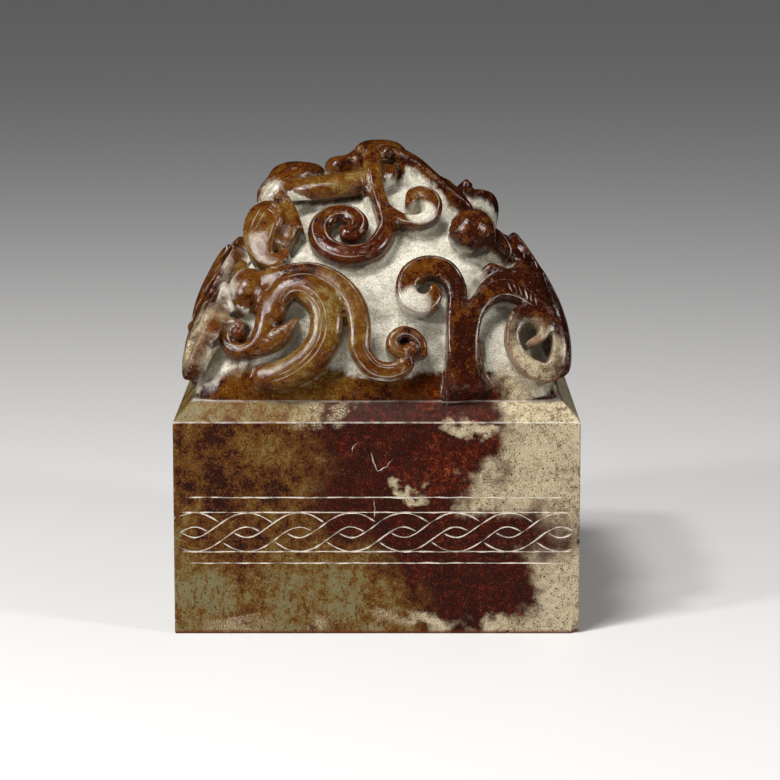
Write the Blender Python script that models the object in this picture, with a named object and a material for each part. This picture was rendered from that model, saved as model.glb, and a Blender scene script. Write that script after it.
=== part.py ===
"""A jade seal: a square block whose knob is carved with crawling dragons.

The block, the knob and its dragons are one stone. The model starts with the
block and the smooth ground of the knob, and every carved form is laid over
that ground and united with it.
"""
import math

import bmesh
import bpy
from mathutils import Matrix, Vector

# Driving sizes, in metres
BLOCK_WIDTH = 0.080
BLOCK_WALL_HEIGHT = 0.0424
CHAMFER_INSET = 0.0034
CHAMFER_RISE = 0.0037
LEDGE = 0.0004
KNOB_RISE = 0.0485
LINE_HEIGHTS = (0.0143, 0.0166, 0.0245, 0.0275)
LINE_WIDTH = 0.0005
LINE_DEPTH = 0.0003
SEAL_RIM = 0.007
STROKE_DEPTH = 0.0006
STROKE_WIDTH = 0.0022
STROKE_COLUMNS = 4
STROKE_ROWS = 4

# The knob starts on the block's chamfer
KNOB_FOOT = BLOCK_WALL_HEIGHT + CHAMFER_RISE
KNOB_HALF = BLOCK_WIDTH / 2 - CHAMFER_INSET - LEDGE

# The carving is drawn in millimetres, as it is on a block 80 mm wide: across
# from the middle of a face, and height above the underside
DRAWN_HALF = 36.2
DRAWN_FOOT = 46.1
DRAWN_RISE = 48.5
ACROSS_SCALE = KNOB_HALF / DRAWN_HALF
UPWARD_SCALE = KNOB_RISE / DRAWN_RISE

# The ground under the dragons: its radius falls from the foot to its top,
# and its plan goes from nearly square to nearly round
GROUND_TOP = 88.0
GROUND_CURVE = 1.6
SQUARE_POWER = 15.0
ROUND_POWER = 3.0
POWER_FADE = 2.2
GROUND_SIDES = 24
GROUND_LEVELS = (46.1, 51.0, 57.0, 63.0, 69.0, 74.5, 79.5, 84.0)

# The four side dragons are alike, but each holds its head a little lower or
# higher: front, right, back and left
HEAD_DROPS = (0.0, 3.0, 1.0, 1.5)

# The sheet that a face's dragon lies on bows back towards the corners
SHEET_BOW = 0.12
SHEET_LEAST_RADIUS = 12.0
SHEET_STEP = 0.05

# How far the ground reaches down into the block
GROUND_SUNK = 1.5

# A strand's section: its crown's depth as a share of its width, and at most of
# its height, and the part of a broad strand's top that is flat
CROWN_OF_WIDTH = 0.28
CROWN_OF_HEIGHT = 0.4
FLAT_OF_TOP = 0.5

# A strand's round end, in shares of its width: how far it goes on, how wide it
# is there, and how far its top falls
END_REACH = 0.32
END_WIDTH = 0.5
END_FALL = 0.14

# A dome's profile: the part of a quarter turn that it takes, and its upright wall
DOME_TURN = 0.86
DOME_WALL = 0.35

# A scroll has a row at each eighth of a turn, in degrees
SCROLL_STEP = 45.0

# The underside's strokes, in shares of a column
LONG_STROKE = 0.72
SHORT_STROKE = 0.5

JADE_COLOUR = (0.19, 0.10, 0.045, 1.0)
JADE_ROUGHNESS = 0.22


def ground_radius(height):
    """Half the ground's width across its faces, at a height."""
    share = min(max((height - DRAWN_FOOT) / (GROUND_TOP - DRAWN_FOOT), 0.0), 1.0)
    return DRAWN_HALF * (1.0 - share ** GROUND_CURVE) ** (1.0 / GROUND_CURVE)


def ground_power(height):
    """How square the ground's plan is at a height."""
    share = (height - DRAWN_FOOT) / (GROUND_TOP - DRAWN_FOOT)
    return ROUND_POWER + (SQUARE_POWER - ROUND_POWER) * (1.0 - share) ** POWER_FADE


def ground_ring(height):
    """One level of the ground, on polar directions."""
    radius = ground_radius(height)
    power = ground_power(height)
    ring = []
    for index in range(GROUND_SIDES):
        angle = 2.0 * math.pi * index / GROUND_SIDES
        east = math.cos(angle)
        north = math.sin(angle)
        reach = radius / (abs(east) ** power + abs(north) ** power) ** (1.0 / power)
        ring.append(Vector((reach * east, reach * north, height)))
    return ring


def sheet_point(across, height):
    """The point of the front face's sheet."""
    radius = ground_radius(height)
    bow = SHEET_BOW / max(radius, SHEET_LEAST_RADIUS)
    return Vector((across, -(radius - bow * across * across), height))


def sheet_normal(across, height):
    """The direction in which a form stands out from the sheet."""
    along = sheet_point(across + SHEET_STEP, height) - sheet_point(across - SHEET_STEP, height)
    upward = sheet_point(across, height + SHEET_STEP) - sheet_point(across, height - SHEET_STEP)
    return along.cross(upward).normalized()


def drawn_to_metres(point):
    """Take a drawn point to its place on the real block."""
    return Vector((
        point.x * ACROSS_SCALE,
        point.y * ACROSS_SCALE,
        KNOB_FOOT + (point.z - DRAWN_FOOT) * UPWARD_SCALE,
    ))


def catmull_rom(rows, steps):
    """Rows of numbers, smoothed into steps rows a span."""
    smooth = []
    last = len(rows) - 1
    for index in range(last):
        before = rows[max(index - 1, 0)]
        start = rows[index]
        end = rows[index + 1]
        after = rows[min(index + 2, last)]
        for step in range(steps):
            share = step / steps
            smooth.append(tuple(
                0.5 * (2 * b + (c - a) * share
                       + (2 * a - 5 * b + 4 * c - d) * share ** 2
                       + (3 * b - a - 3 * c + d) * share ** 3)
                for a, b, c, d in zip(before, start, end, after)))
    smooth.append(tuple(rows[last]))
    return smooth


def loaf_section(centre, side, up, width, top, foot, broad):
    """A section with upright walls and a crowned top, flat in the middle where it is broad."""
    half = width / 2.0
    crown = min(CROWN_OF_WIDTH * width, CROWN_OF_HEIGHT * (top - foot))
    outline = [(-half, foot), (-half, top - crown)]
    if broad:
        outline.extend(((-FLAT_OF_TOP * half, top), (FLAT_OF_TOP * half, top)))
    else:
        outline.append((0.0, top))
    outline.extend(((half, top - crown), (half, foot)))
    return [centre + side * offset + up * lift for offset, lift in outline]


def closed_loft(name, rings):
    """A closed mesh through rings of as many points each."""
    mesh = bpy.data.meshes.new(name)
    shape = bmesh.new()
    loops = [[shape.verts.new(drawn_to_metres(point)) for point in ring] for ring in rings]
    for near, far in zip(loops, loops[1:]):
        for index in range(len(near)):
            follow = (index + 1) % len(near)
            shape.faces.new((near[index], near[follow], far[follow], far[index]))
    shape.faces.new(loops[0])
    shape.faces.new(loops[-1])
    bmesh.ops.recalc_face_normals(shape, faces=shape.faces)
    bmesh.ops.triangulate(shape, faces=shape.faces)
    shape.to_mesh(mesh)
    shape.free()
    return mesh


def end_row(row, neighbour):
    """A narrower and lower row past a strand's end row, away from its neighbour."""
    *place, width, top, foot = row
    place = Vector(place)
    beyond = place + (place - Vector(neighbour[:-3])).normalized() * width * END_REACH
    return (*beyond, width * END_WIDTH, top - width * END_FALL, foot)


def rounded_ends(rows, start, end):
    """Add a narrower row past each end that is to be round."""
    rows = list(rows)
    if start:
        rows.insert(0, end_row(rows[0], rows[1]))
    if end:
        rows.append(end_row(rows[-1], rows[-2]))
    return rows


def face_strand(name, rows, broad=False, start=True, end=True):
    """A strand on the front sheet: across, height, width, top and foot."""
    rows = rounded_ends(rows, start, end)
    rings = []
    for index, row in enumerate(rows):
        across, height, width, top, foot = row
        near = rows[max(index - 1, 0)]
        far = rows[min(index + 1, len(rows) - 1)]
        tangent = sheet_point(far[0], far[1]) - sheet_point(near[0], near[1])
        up = sheet_normal(across, height)
        side = tangent.cross(up).normalized()
        rings.append(loaf_section(sheet_point(across, height), side, up, width, top, foot, broad))
    return closed_loft(name, rings)


def ridge(name, rows, start=True, end=True):
    """A limb on top of the knob: x, y, z of its crest, width, and top and foot from the crest."""
    rows = rounded_ends(rows, start, end)
    rings = []
    for index, row in enumerate(rows):
        near = Vector(rows[max(index - 1, 0)][:3])
        far = Vector(rows[min(index + 1, len(rows) - 1)][:3])
        side = (far - near).cross(Vector((0.0, 0.0, 1.0))).normalized()
        up = Vector((0.0, 0.0, 1.0))
        rings.append(loaf_section(Vector(row[:3]), side, up, row[3], row[4], row[5], True))
    return closed_loft(name, rings)


def scroll(centre, first_angle, turn, radii, widths, top, foot, flatten):
    """Rows of a scroll whose radius and width follow values a quarter turn apart."""
    rows = []
    smooth = catmull_rom(list(zip(radii, widths)), 2)
    for index, (radius, width) in enumerate(smooth):
        angle = math.radians(first_angle + turn * SCROLL_STEP * index)
        rows.append((
            centre[0] + radius * math.cos(angle),
            centre[1] + radius * math.sin(angle) * flatten,
            width,
            top,
            foot,
        ))
    return rows


def dome(name, centre, radius, base, crest, rings=2, sides=8):
    """A low dome on the front sheet, for shoulders and toes."""
    across, height = centre
    up = sheet_normal(across, height)
    side = Vector((1.0, 0.0, 0.0)).cross(up).cross(up).normalized()
    rise = up.cross(side).normalized()
    middle = sheet_point(across, height)
    levels = [(1.0, base)]
    for index in range(rings + 1):
        angle = math.pi / 2 * (index / rings) * DOME_TURN
        rise_share = DOME_WALL + (1.0 - DOME_WALL) * math.sin(angle)
        levels.append((math.cos(angle), base + (crest - base) * rise_share))
    loops = []
    for share, lift in levels:
        loop = []
        for index in range(sides):
            angle = 2.0 * math.pi * (index + 0.5) / sides
            offset = side * math.cos(angle) * radius[0] + rise * math.sin(angle) * radius[1]
            loop.append(middle + offset * share + up * lift)
        loops.append(loop)
    return closed_loft(name, loops)


def dragon_head(drop):
    """The head of a side dragon, laid lower on the sheet by the drop, and its horn."""
    head = (
        (-20.4, 78.6 - drop, 5.0, 4.6, -4.0),
        (-20.8, 76.8 - drop, 7.6, 6.2, -4.0),
        (-21.3, 74.6 - drop, 8.6, 7.0, -4.0),
        (-21.2, 72.3 - drop / 2, 7.6, 6.8, -4.0),
        (-20.3, 70.2, 6.2, 6.2, -4.0),
    )
    horn = (
        (-19.4, 78.8 - drop, 1.8, 5.2, -3.0),
        (-17.6, 79.6 - drop, 2.2, 4.8, -3.0),
        (-15.4, 77.8 - drop, 1.8, 3.6, -3.0),
    )
    return [face_strand("head", head, broad=True), face_strand("horn", horn)]


def dragon_body():
    """The body, legs and tail of a side dragon."""
    forms = []
    neck = (
        (-25.6, 75.0, 2.6, 4.4, -4.0),
        (-26.2, 71.5, 3.6, 5.0, -4.0),
        (-25.6, 68.5, 5.4, 5.6, -4.0),
        (-24.8, 65.5, 6.6, 5.8, -4.0),
    )
    forms.append(face_strand("neck", neck))
    forms.append(dome("shoulder", (-25.0, 65.2), (4.4, 5.6), -4.0, 6.8))
    body = (
        (-23.5, 65.8, 6.0, 5.2, -3.0),
        (-18.6, 67.4, 4.8, 5.4, -2.0),
        (-14.6, 68.4, 4.2, 5.3, -2.0),
        (-10.8, 68.2, 4.2, 5.2, -2.0),
        (-6.9, 66.2, 4.4, 5.2, -2.0),
        (-4.2, 63.0, 4.6, 5.1, -2.0),
        (-3.3, 59.0, 4.6, 5.0, -2.0),
        (-3.2, 55.4, 4.3, 4.9, -2.0),
        (-1.0, 52.4, 4.0, 4.7, -2.0),
        (1.7, 51.5, 3.8, 4.6, -2.0),
        (4.4, 51.9, 3.6, 4.6, -2.0),
        (6.2, 53.0, 2.6, 4.6, -2.0),
    )
    forms.append(face_strand("body", body))
    paw = (
        (5.0, 54.6, 2.8, 4.8, -2.0),
        (3.3, 55.6, 2.8, 4.8, -2.0),
        (3.2, 57.2, 2.6, 4.8, -2.0),
        (4.8, 58.3, 2.5, 4.8, -2.0),
        (6.9, 57.9, 2.4, 4.8, -2.0),
        (8.5, 56.4, 2.2, 4.7, -2.0),
        (9.0, 54.4, 1.6, 4.4, -2.0),
    )
    forms.append(face_strand("paw", paw))
    forms.append(dome("toe", (6.5, 55.2), (2.0, 1.9), -2.0, 4.8, sides=6))
    crescent = (
        (-19.6, 61.0, 4.2, 5.6, -2.0),
        (-19.0, 63.4, 4.6, 6.0, -2.0),
        (-17.1, 65.3, 5.2, 6.3, -2.0),
        (-14.4, 65.8, 6.0, 6.3, -2.0),
        (-11.9, 64.7, 6.4, 6.2, -2.0),
        (-10.1, 62.5, 6.4, 6.0, -2.0),
        (-9.6, 59.7, 6.6, 5.9, -2.0),
        (-10.2, 56.9, 6.6, 5.7, -2.0),
        (-12.2, 54.2, 6.4, 5.4, -2.0),
        (-15.3, 52.0, 6.2, 5.0, -2.0),
        (-18.8, 50.6, 5.8, 4.6, -2.0),
        (-22.2, 50.2, 4.8, 4.0, -2.0),
    )
    forms.append(face_strand("crescent", crescent, broad=True))
    foreleg = (
        (-20.6, 63.4, 5.0, 5.6, -3.0),
        (-21.0, 60.6, 4.8, 5.4, -3.0),
        (-21.9, 57.6, 4.6, 5.0, -3.0),
        (-23.8, 55.5, 3.6, 4.8, -3.0),
        (-26.4, 54.6, 3.2, 4.6, -3.0),
        (-28.7, 55.6, 2.9, 4.4, -3.0),
        (-29.2, 57.8, 2.6, 4.4, -3.0),
        (-27.9, 59.5, 2.4, 4.4, -3.0),
        (-26.1, 59.0, 2.0, 4.2, -3.0),
    )
    forms.append(face_strand("foreleg", foreleg))
    forms.append(dome("foreleg_toe", (-27.0, 57.9), (1.8, 1.8), -3.0, 3.8, sides=6))
    heel = (
        (-23.6, 55.0, 2.2, 4.6, -3.0),
        (-21.4, 56.4, 4.4, 5.0, -3.0),
        (-19.4, 57.8, 4.8, 5.2, -3.0),
        (-17.4, 59.2, 3.2, 5.2, -2.0),
        (-15.8, 60.4, 1.2, 5.0, -2.0),
    )
    forms.append(face_strand("heel", heel))
    forms.extend(forked_tail())
    return forms


def forked_tail():
    """The tail that forks into a scroll and an openwork disc."""
    forms = []
    root = (
        (18.6, 45.6, 17.0, 0.9, -3.0),
        (17.8, 47.2, 11.5, 2.4, -3.0),
        (17.3, 49.5, 8.6, 3.8, -3.0),
        (17.0, 52.5, 7.6, 4.4, -3.0),
        (17.0, 56.0, 6.8, 4.6, -3.0),
    )
    forms.append(face_strand("tail_root", root, start=False))
    stem = (
        (16.6, 49.0, 4.1, 4.2, -2.0),
        (16.1, 52.5, 4.1, 5.0, -2.0),
        (15.7, 56.5, 4.1, 5.2, -2.0),
        (15.3, 60.5, 4.1, 5.3, -1.0),
    )
    curl = scroll((8.8, 64.9), 0.0, 1.0, (6.3, 5.4, 3.5, 2.7, 1.6), (4.1, 3.8, 3.5, 3.0, 1.6),
                  5.4, 1.9, 0.85)
    forms.append(face_strand("left_scroll", list(stem) + curl))
    branch = (
        (17.9, 49.0, 4.1, 4.2, -2.0),
        (17.9, 53.0, 4.1, 4.8, -2.0),
        (18.0, 57.0, 4.1, 5.0, -2.0),
        (19.0, 60.6, 4.0, 5.2, -1.0),
        (21.4, 63.6, 4.0, 5.4, -1.0),
        (25.4, 65.0, 4.0, 5.7, 0.0),
        (29.4, 63.3, 3.8, 6.0, 1.2),
        (32.4, 60.4, 3.6, 6.2, 2.0),
        (34.0, 57.0, 3.5, 6.3, 2.5),
        (34.2, 53.4, 3.5, 6.3, 2.8),
        (32.4, 50.8, 3.5, 6.3, 3.0),
        (29.6, 51.0, 3.5, 6.3, 3.0),
        (27.0, 53.2, 3.4, 6.3, 3.0),
        (25.7, 56.6, 3.4, 6.3, 3.0),
        (27.2, 59.8, 3.2, 6.3, 3.0),
        (30.2, 59.4, 2.6, 6.3, 3.0),
        (30.8, 57.0, 1.6, 6.2, 3.0),
    )
    forms.append(face_strand("right_scroll", branch))
    back_band = (
        (18.6, 61.6, 2.4, 4.2, -2.0),
        (20.2, 64.8, 2.6, 4.4, -2.0),
        (22.8, 66.8, 2.8, 4.6, -2.0),
        (26.0, 66.9, 2.8, 4.8, -1.0),
        (29.2, 65.0, 2.8, 4.8, 0.8),
        (32.2, 61.8, 2.8, 4.8, 1.2),
        (34.6, 58.0, 2.8, 4.6, 1.2),
        (36.0, 54.0, 2.6, 4.2, 1.2),
        (36.2, 51.0, 2.2, 3.8, 1.2),
    )
    forms.append(face_strand("back_band", back_band))
    return forms


def top_dragon():
    """The forms of the dragon that lies over the top, tail to the front."""
    forms = []
    tail = (
        (-0.8, 87.4, 3.6, 5.6, -2.0),
        (-0.9, 86.0, 3.6, 5.4, -2.0),
        (-0.7, 83.6, 3.6, 5.0, -2.0),
        (0.3, 81.4, 3.7, 4.4, -2.0),
        (1.2, 79.4, 3.6, 4.0, -2.0),
    )
    curl = scroll((-7.7, 76.8), 0.0, -1.0, (8.4, 6.0, 4.6, 4.0, 3.8, 2.0), (3.5, 3.6, 3.5, 3.3, 2.8, 1.6),
                  4.2, -1.5, 0.68)
    forms.append(face_strand("top_tail", list(tail) + curl))
    fork = (
        (0.6, 80.6, 3.0, 3.8, -2.0),
        (2.8, 79.2, 3.0, 3.9, -2.0),
        (4.9, 78.2, 3.0, 4.0, -2.0),
        (7.1, 77.7, 3.1, 4.1, -2.0),
        (9.3, 78.0, 3.2, 4.3, -2.0),
        (11.0, 79.1, 3.3, 4.6, -2.0),
        (11.3, 80.8, 3.4, 4.8, -2.0),
        (10.1, 82.2, 3.4, 4.8, -2.0),
        (8.4, 82.6, 2.8, 4.6, -2.0),
        (7.2, 81.8, 1.8, 4.2, -2.0),
    )
    forms.append(face_strand("top_tail_fork", fork))
    body = (
        (-0.4, -7.0, 91.6, 8.5, 0.0, -14.0),
        (-0.2, -2.0, 94.0, 10.0, 0.0, -14.0),
        (0.6, 3.0, 94.2, 11.0, 0.0, -14.0),
        (1.4, 8.5, 91.8, 10.5, 0.0, -14.0),
        (0.6, 13.5, 88.0, 8.5, 0.0, -14.0),
        (-0.4, 17.0, 85.0, 7.0, 0.0, -14.0),
    )
    forms.append(ridge("top_body", body))
    head = (
        (-0.2, 16.6, 87.6, 6.4, 0.0, -14.0),
        (0.2, 19.4, 86.6, 9.4, 0.0, -14.0),
        (0.6, 22.8, 83.4, 8.6, 0.0, -14.0),
        (0.8, 25.6, 79.8, 6.4, 0.0, -14.0),
    )
    forms.append(ridge("top_head", head))
    for side in (-1, 1):
        foreleg = (
            (side * 4.0, 9.0, 90.6, 5.5, 0.0, -12.0),
            (side * 8.5, 11.0, 88.2, 5.5, 0.0, -12.0),
            (side * 11.5, 14.5, 85.2, 4.6, 0.0, -14.0),
            (side * 11.0, 18.6, 82.8, 3.8, 0.0, -14.0),
            (side * 8.6, 20.4, 82.2, 3.0, 0.0, -14.0),
        )
        forms.append(ridge("top_foreleg", foreleg))
    left_leg = (
        (1.0, -8.0, 90.2, 8.0, 0.0, -14.0),
        (-4.0, -9.4, 89.2, 9.0, 0.0, -14.0),
        (-9.0, -10.0, 88.4, 9.0, 0.0, -14.0),
        (-14.0, -9.4, 87.8, 8.6, 0.0, -14.0),
        (-17.0, -8.0, 87.4, 7.6, 0.0, -14.0),
    )
    forms.append(ridge("top_left_leg", left_leg))
    left_haunch = (
        (-14.0, 2.0, 89.6, 8.0, 0.0, -14.0),
        (-17.5, 0.5, 89.8, 9.0, 0.0, -14.0),
        (-19.8, -2.0, 88.4, 8.0, 0.0, -14.0),
        (-22.2, -4.0, 86.0, 6.5, 0.0, -14.0),
    )
    forms.append(ridge("top_left_haunch", left_haunch))
    left_hip = (
        (1.0, 0.0, 94.2, 6.0, 0.0, -12.0),
        (-3.0, -1.0, 93.4, 6.0, 0.0, -12.0),
        (-6.0, -1.6, 91.6, 6.0, 0.0, -12.0),
        (-8.4, -2.0, 91.2, 6.0, 0.0, -12.0),
    )
    forms.append(ridge("top_left_hip", left_hip, end=False))
    right_leg = (
        (1.0, -3.0, 94.0, 7.0, 0.0, -14.0),
        (5.0, -4.4, 93.2, 8.0, 0.0, -14.0),
        (8.5, -5.0, 91.2, 8.6, 0.0, -14.0),
        (12.0, -5.4, 88.2, 8.6, 0.0, -14.0),
        (15.4, -5.8, 85.4, 8.0, 0.0, -14.0),
        (18.6, -6.2, 82.6, 7.0, 0.0, -14.0),
    )
    forms.append(ridge("top_right_leg", right_leg))
    right_haunch = (
        (12.0, 4.0, 87.0, 7.0, 0.0, -12.0),
        (15.0, 5.4, 85.4, 7.0, 0.0, -12.0),
        (17.4, 5.6, 83.4, 5.4, 0.0, -12.0),
    )
    forms.append(ridge("top_right_haunch", right_haunch))
    return forms


def turned(mesh, quarter):
    """An object with the mesh, turned by quarters about the upright axis."""
    item = bpy.data.objects.new(mesh.name, mesh)
    item.matrix_world = Matrix.Rotation(quarter * math.pi / 2, 4, "Z")
    return item


def as_cutter(item):
    """Keep a Boolean's operand out of the picture."""
    item.hide_render = True
    item.display_type = "WIRE"
    return item


def block_profile():
    """Half-width and height of the block, from the underside to the knob's foot."""
    half = BLOCK_WIDTH / 2
    profile = [(half, 0.0)]
    for height in LINE_HEIGHTS:
        profile.append((half, height - LINE_WIDTH / 2))
        profile.append((half - LINE_DEPTH, height))
        profile.append((half, height + LINE_WIDTH / 2))
    profile.append((half, BLOCK_WALL_HEIGHT))
    profile.append((half - CHAMFER_INSET, KNOB_FOOT))
    return profile


def make_block():
    """The square block, with its four border lines cut round it."""
    mesh = bpy.data.meshes.new("block")
    shape = bmesh.new()
    loops = []
    for half, height in block_profile():
        corners = ((-half, -half), (half, -half), (half, half), (-half, half))
        loops.append([shape.verts.new((x, y, height)) for x, y in corners])
    for near, far in zip(loops, loops[1:]):
        for index in range(4):
            follow = (index + 1) % 4
            shape.faces.new((near[index], near[follow], far[follow], far[index]))
    shape.faces.new(loops[0])
    shape.faces.new(loops[-1])
    bmesh.ops.recalc_face_normals(shape, faces=shape.faces)
    shape.to_mesh(mesh)
    shape.free()
    return mesh


def make_ground():
    """The smooth ground of the knob, sunk a little into the block."""
    down = Vector((0.0, 0.0, -GROUND_SUNK))
    rings = [[point + down for point in ground_ring(DRAWN_FOOT)]]
    for height in GROUND_LEVELS:
        rings.append(ground_ring(height))
    return closed_loft("ground", rings)


def seal_strokes():
    """Bars for the underside: rows of plain strokes that spell nothing."""
    strokes = []
    field = BLOCK_WIDTH - 2 * SEAL_RIM
    column_pitch = field / STROKE_COLUMNS
    row_pitch = field / STROKE_ROWS
    for column in range(STROKE_COLUMNS):
        for row in range(STROKE_ROWS):
            length = column_pitch * (LONG_STROKE if (column + row) % 2 else SHORT_STROKE)
            mesh = bpy.data.meshes.new("stroke")
            shape = bmesh.new()
            bmesh.ops.create_cube(shape, size=1.0)
            bmesh.ops.scale(shape, verts=shape.verts, vec=(length, STROKE_WIDTH, 2 * STROKE_DEPTH))
            middle = (
                -field / 2 + column_pitch * (column + 0.5),
                -field / 2 + row_pitch * (row + 0.5),
                0.0,
            )
            bmesh.ops.translate(shape, verts=shape.verts, vec=middle)
            shape.to_mesh(mesh)
            shape.free()
            strokes.append(mesh)
    return strokes


def add_boolean(item, name, operation, collection):
    """A Boolean of the item with everything in a collection."""
    modifier = item.modifiers.new(name, "BOOLEAN")
    modifier.operation = operation
    modifier.operand_type = "COLLECTION"
    modifier.collection = collection
    modifier.solver = "EXACT"
    return modifier


def jade_material():
    """Polished jade, in the mean colour of its brown and pale parts."""
    material = bpy.data.materials.new("Jade")
    material.use_nodes = True
    surface = material.node_tree.nodes["Principled BSDF"]
    surface.inputs["Base Color"].default_value = JADE_COLOUR
    surface.inputs["Roughness"].default_value = JADE_ROUGHNESS
    surface.inputs["Metallic"].default_value = 0.0
    material.diffuse_color = JADE_COLOUR
    return material


def new_collection(name):
    """A collection in the scene."""
    collection = bpy.data.collections.new(name)
    bpy.context.scene.collection.children.link(collection)
    return collection


def main():
    """Clear the scene and build the seal."""
    for item in list(bpy.data.objects):
        bpy.data.objects.remove(item, do_unlink=True)
    parts = new_collection("Jade seal")
    carved = new_collection("Carved forms")
    strokes = new_collection("Seal strokes")

    block = bpy.data.objects.new("jade_seal", make_block())
    block.data.materials.append(jade_material())
    parts.objects.link(block)

    carved.objects.link(as_cutter(turned(make_ground(), 0)))
    for quarter, drop in enumerate(HEAD_DROPS):
        for mesh in dragon_head(drop):
            carved.objects.link(as_cutter(turned(mesh, quarter)))
    for mesh in dragon_body():
        for quarter in range(4):
            carved.objects.link(as_cutter(turned(mesh, quarter)))
    for mesh in top_dragon():
        carved.objects.link(as_cutter(turned(mesh, 0)))
    for mesh in seal_strokes():
        strokes.objects.link(as_cutter(turned(mesh, 0)))

    add_boolean(block, "Carving", "UNION", carved)
    add_boolean(block, "Strokes", "DIFFERENCE", strokes)


main()
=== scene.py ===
import math
import random

import bmesh
import bpy
from bpy.props import FloatProperty, FloatVectorProperty, IntProperty, PointerProperty
from mathutils import Matrix, Vector, noise
from mathutils.bvhtree import BVHTree
from mathutils.kdtree import KDTree


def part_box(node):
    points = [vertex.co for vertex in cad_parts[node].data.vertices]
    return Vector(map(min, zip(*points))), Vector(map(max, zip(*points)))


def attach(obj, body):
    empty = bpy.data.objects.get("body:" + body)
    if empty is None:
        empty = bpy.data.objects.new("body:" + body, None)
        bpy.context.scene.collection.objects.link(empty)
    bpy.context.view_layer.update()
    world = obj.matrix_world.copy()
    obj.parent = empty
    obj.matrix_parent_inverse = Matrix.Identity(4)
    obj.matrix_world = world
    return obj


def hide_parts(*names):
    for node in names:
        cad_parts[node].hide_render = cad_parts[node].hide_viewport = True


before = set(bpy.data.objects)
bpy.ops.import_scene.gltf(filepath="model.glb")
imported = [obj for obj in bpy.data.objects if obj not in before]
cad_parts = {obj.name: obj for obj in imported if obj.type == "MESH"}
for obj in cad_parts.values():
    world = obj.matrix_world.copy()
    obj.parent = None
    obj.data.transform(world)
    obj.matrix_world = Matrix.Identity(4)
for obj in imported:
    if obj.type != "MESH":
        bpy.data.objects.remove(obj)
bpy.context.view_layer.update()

bl_info = {
    "name": "Jade seal",
    "version": (1, 0, 0),
    "blender": (4, 5, 0),
    "location": "3D View > Sidebar > Seal",
    "description": "Carves a jade seal with dragons on its knob, and sets up its stage",
    "category": "Object",
}

# Millimetres are used for everything that is carved; a finished piece is metres
MILLIMETRE = 0.001
SEAL_LOW, SEAL_HIGH = (Vector(corner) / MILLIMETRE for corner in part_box("jade_seal"))
BLOCK_HALF = (SEAL_HIGH.x - SEAL_LOW.x) / 2

# The block: its wall, its chamfer and the small ledge that the knob stands on
BLOCK_WALL = 42.4
CHAMFER_INSET = 3.4
KNOB_FOOT = 46.1
LEDGE = 0.4
KNOB_HALF = BLOCK_HALF - CHAMFER_INSET - LEDGE

# The knob's ground, as the solid has it
GROUND_TOP = 88.0
GROUND_CURVE = 1.6
SQUARE_POWER = 15.0
ROUND_POWER = 3.0
POWER_FADE = 2.2
SHEET_BOW = 0.12
SHEET_LEAST_RADIUS = 12.0
SHEET_STEP = 0.05
QUARTERS = range(4)

# Each side dragon's head: how far it is turned aside, in degrees, and lowered
HEAD_PLACES = ((0.0, 0.0), (4.0, 2.3), (2.0, 1.0), (1.0, 1.5))

# The side whose right scroll is worn thin, and the one whose head is a ball
SHORN_QUARTER = 3
BALL_QUARTER = 1

# The border lines with how far they end from the corners, and the braid between the middle ones
BORDER_LINES = (14.3, 16.6, 24.5, 27.5)
BRAID_MIDDLE = 20.52
BRAID_HALF_WAVE = 10.3
BRAID_FIRST_EYE = 5.3
BRAID_SWING = 2.47
BRAID_HALF_BAND = 1.42
LINE_ENDS = (2.4, 1.0, 1.0, 2.4)
LINE_POINTS = 110

# Cracks on the front wall, through (across, height) points
CRACKS = (
    ((-3.2, 38.7), (-4.7, 37.7), (-5.0, 35.5)),
    ((-1.2, 37.1), (-0.8, 34.9), (0.2, 32.7), (2.0, 33.7), (3.4, 35.5)),
    ((0.2, 38.7), (0.2, 37.3)),
    ((-0.7, 27.3), (-0.4, 25.0), (-0.6, 22.6)),
)
CRACK_PITCH = 0.5
CRACK_JITTER = 0.22
CRACK_SHARE = 0.7
KNOB_LINE_SHARE = 0.95

# A blade stands a little out of the stone; a hand's lines wobble; points of a short stroke
BLADE_RISE = 0.14
HAND_WOBBLE = 0.10
STROKE_POINTS = 7
HEAD_LINE_LIFT = 6.0
SKIN_REACH = 6.0

# Along a braid's edge, and in the search for the band that covers it
BRAID_STEP = 0.3
COVER_STEP = 0.1
COVER_STEPS = 30
LEAST_RUN = 5

# Chips knocked out of the block's upright edges and foot
CHIP_SEED = 11
CHIPS_AN_EDGE = 5
CHIP_SIZES = (0.35, 0.85)
CORNER_CHIP = 1.5

# The strokes of the underside
SEAL_RIM = 7.0
SEAL_STROKES = 4
STROKE_SIZE = (2.2, 1.2)
STROKE_ROUND = 0.3

# Strands on a face: across, height, width, top and foot
FACE = (
    (-21.2, 79.6, 3.0, 4.8, 0.0), (-21.6, 78.2, 5.8, 5.8, 0.0), (-22.1, 76.2, 7.0, 6.2, 0.0),
    (-22.5, 74.2, 6.8, 6.2, 0.0), (-22.4, 72.4, 5.8, 5.8, 0.0), (-21.8, 71.0, 4.4, 5.5, 0.6),
    (-20.6, 70.1, 3.5, 5.4, 0.8), (-19.2, 70.0, 3.0, 5.4, 0.8), (-18.1, 70.8, 2.6, 5.2, 0.6),
    (-17.8, 72.0, 1.8, 4.6, 0.0),
)
EAR = (
    (-18.9, 80.4, 3.0, 4.4, -3.0), (-18.3, 79.0, 5.0, 4.8, -3.0), (-18.0, 77.0, 6.0, 4.6, -3.0),
    (-18.4, 75.0, 5.2, 4.0, -3.0), (-19.2, 73.4, 3.6, 3.2, -3.0),
)
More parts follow.
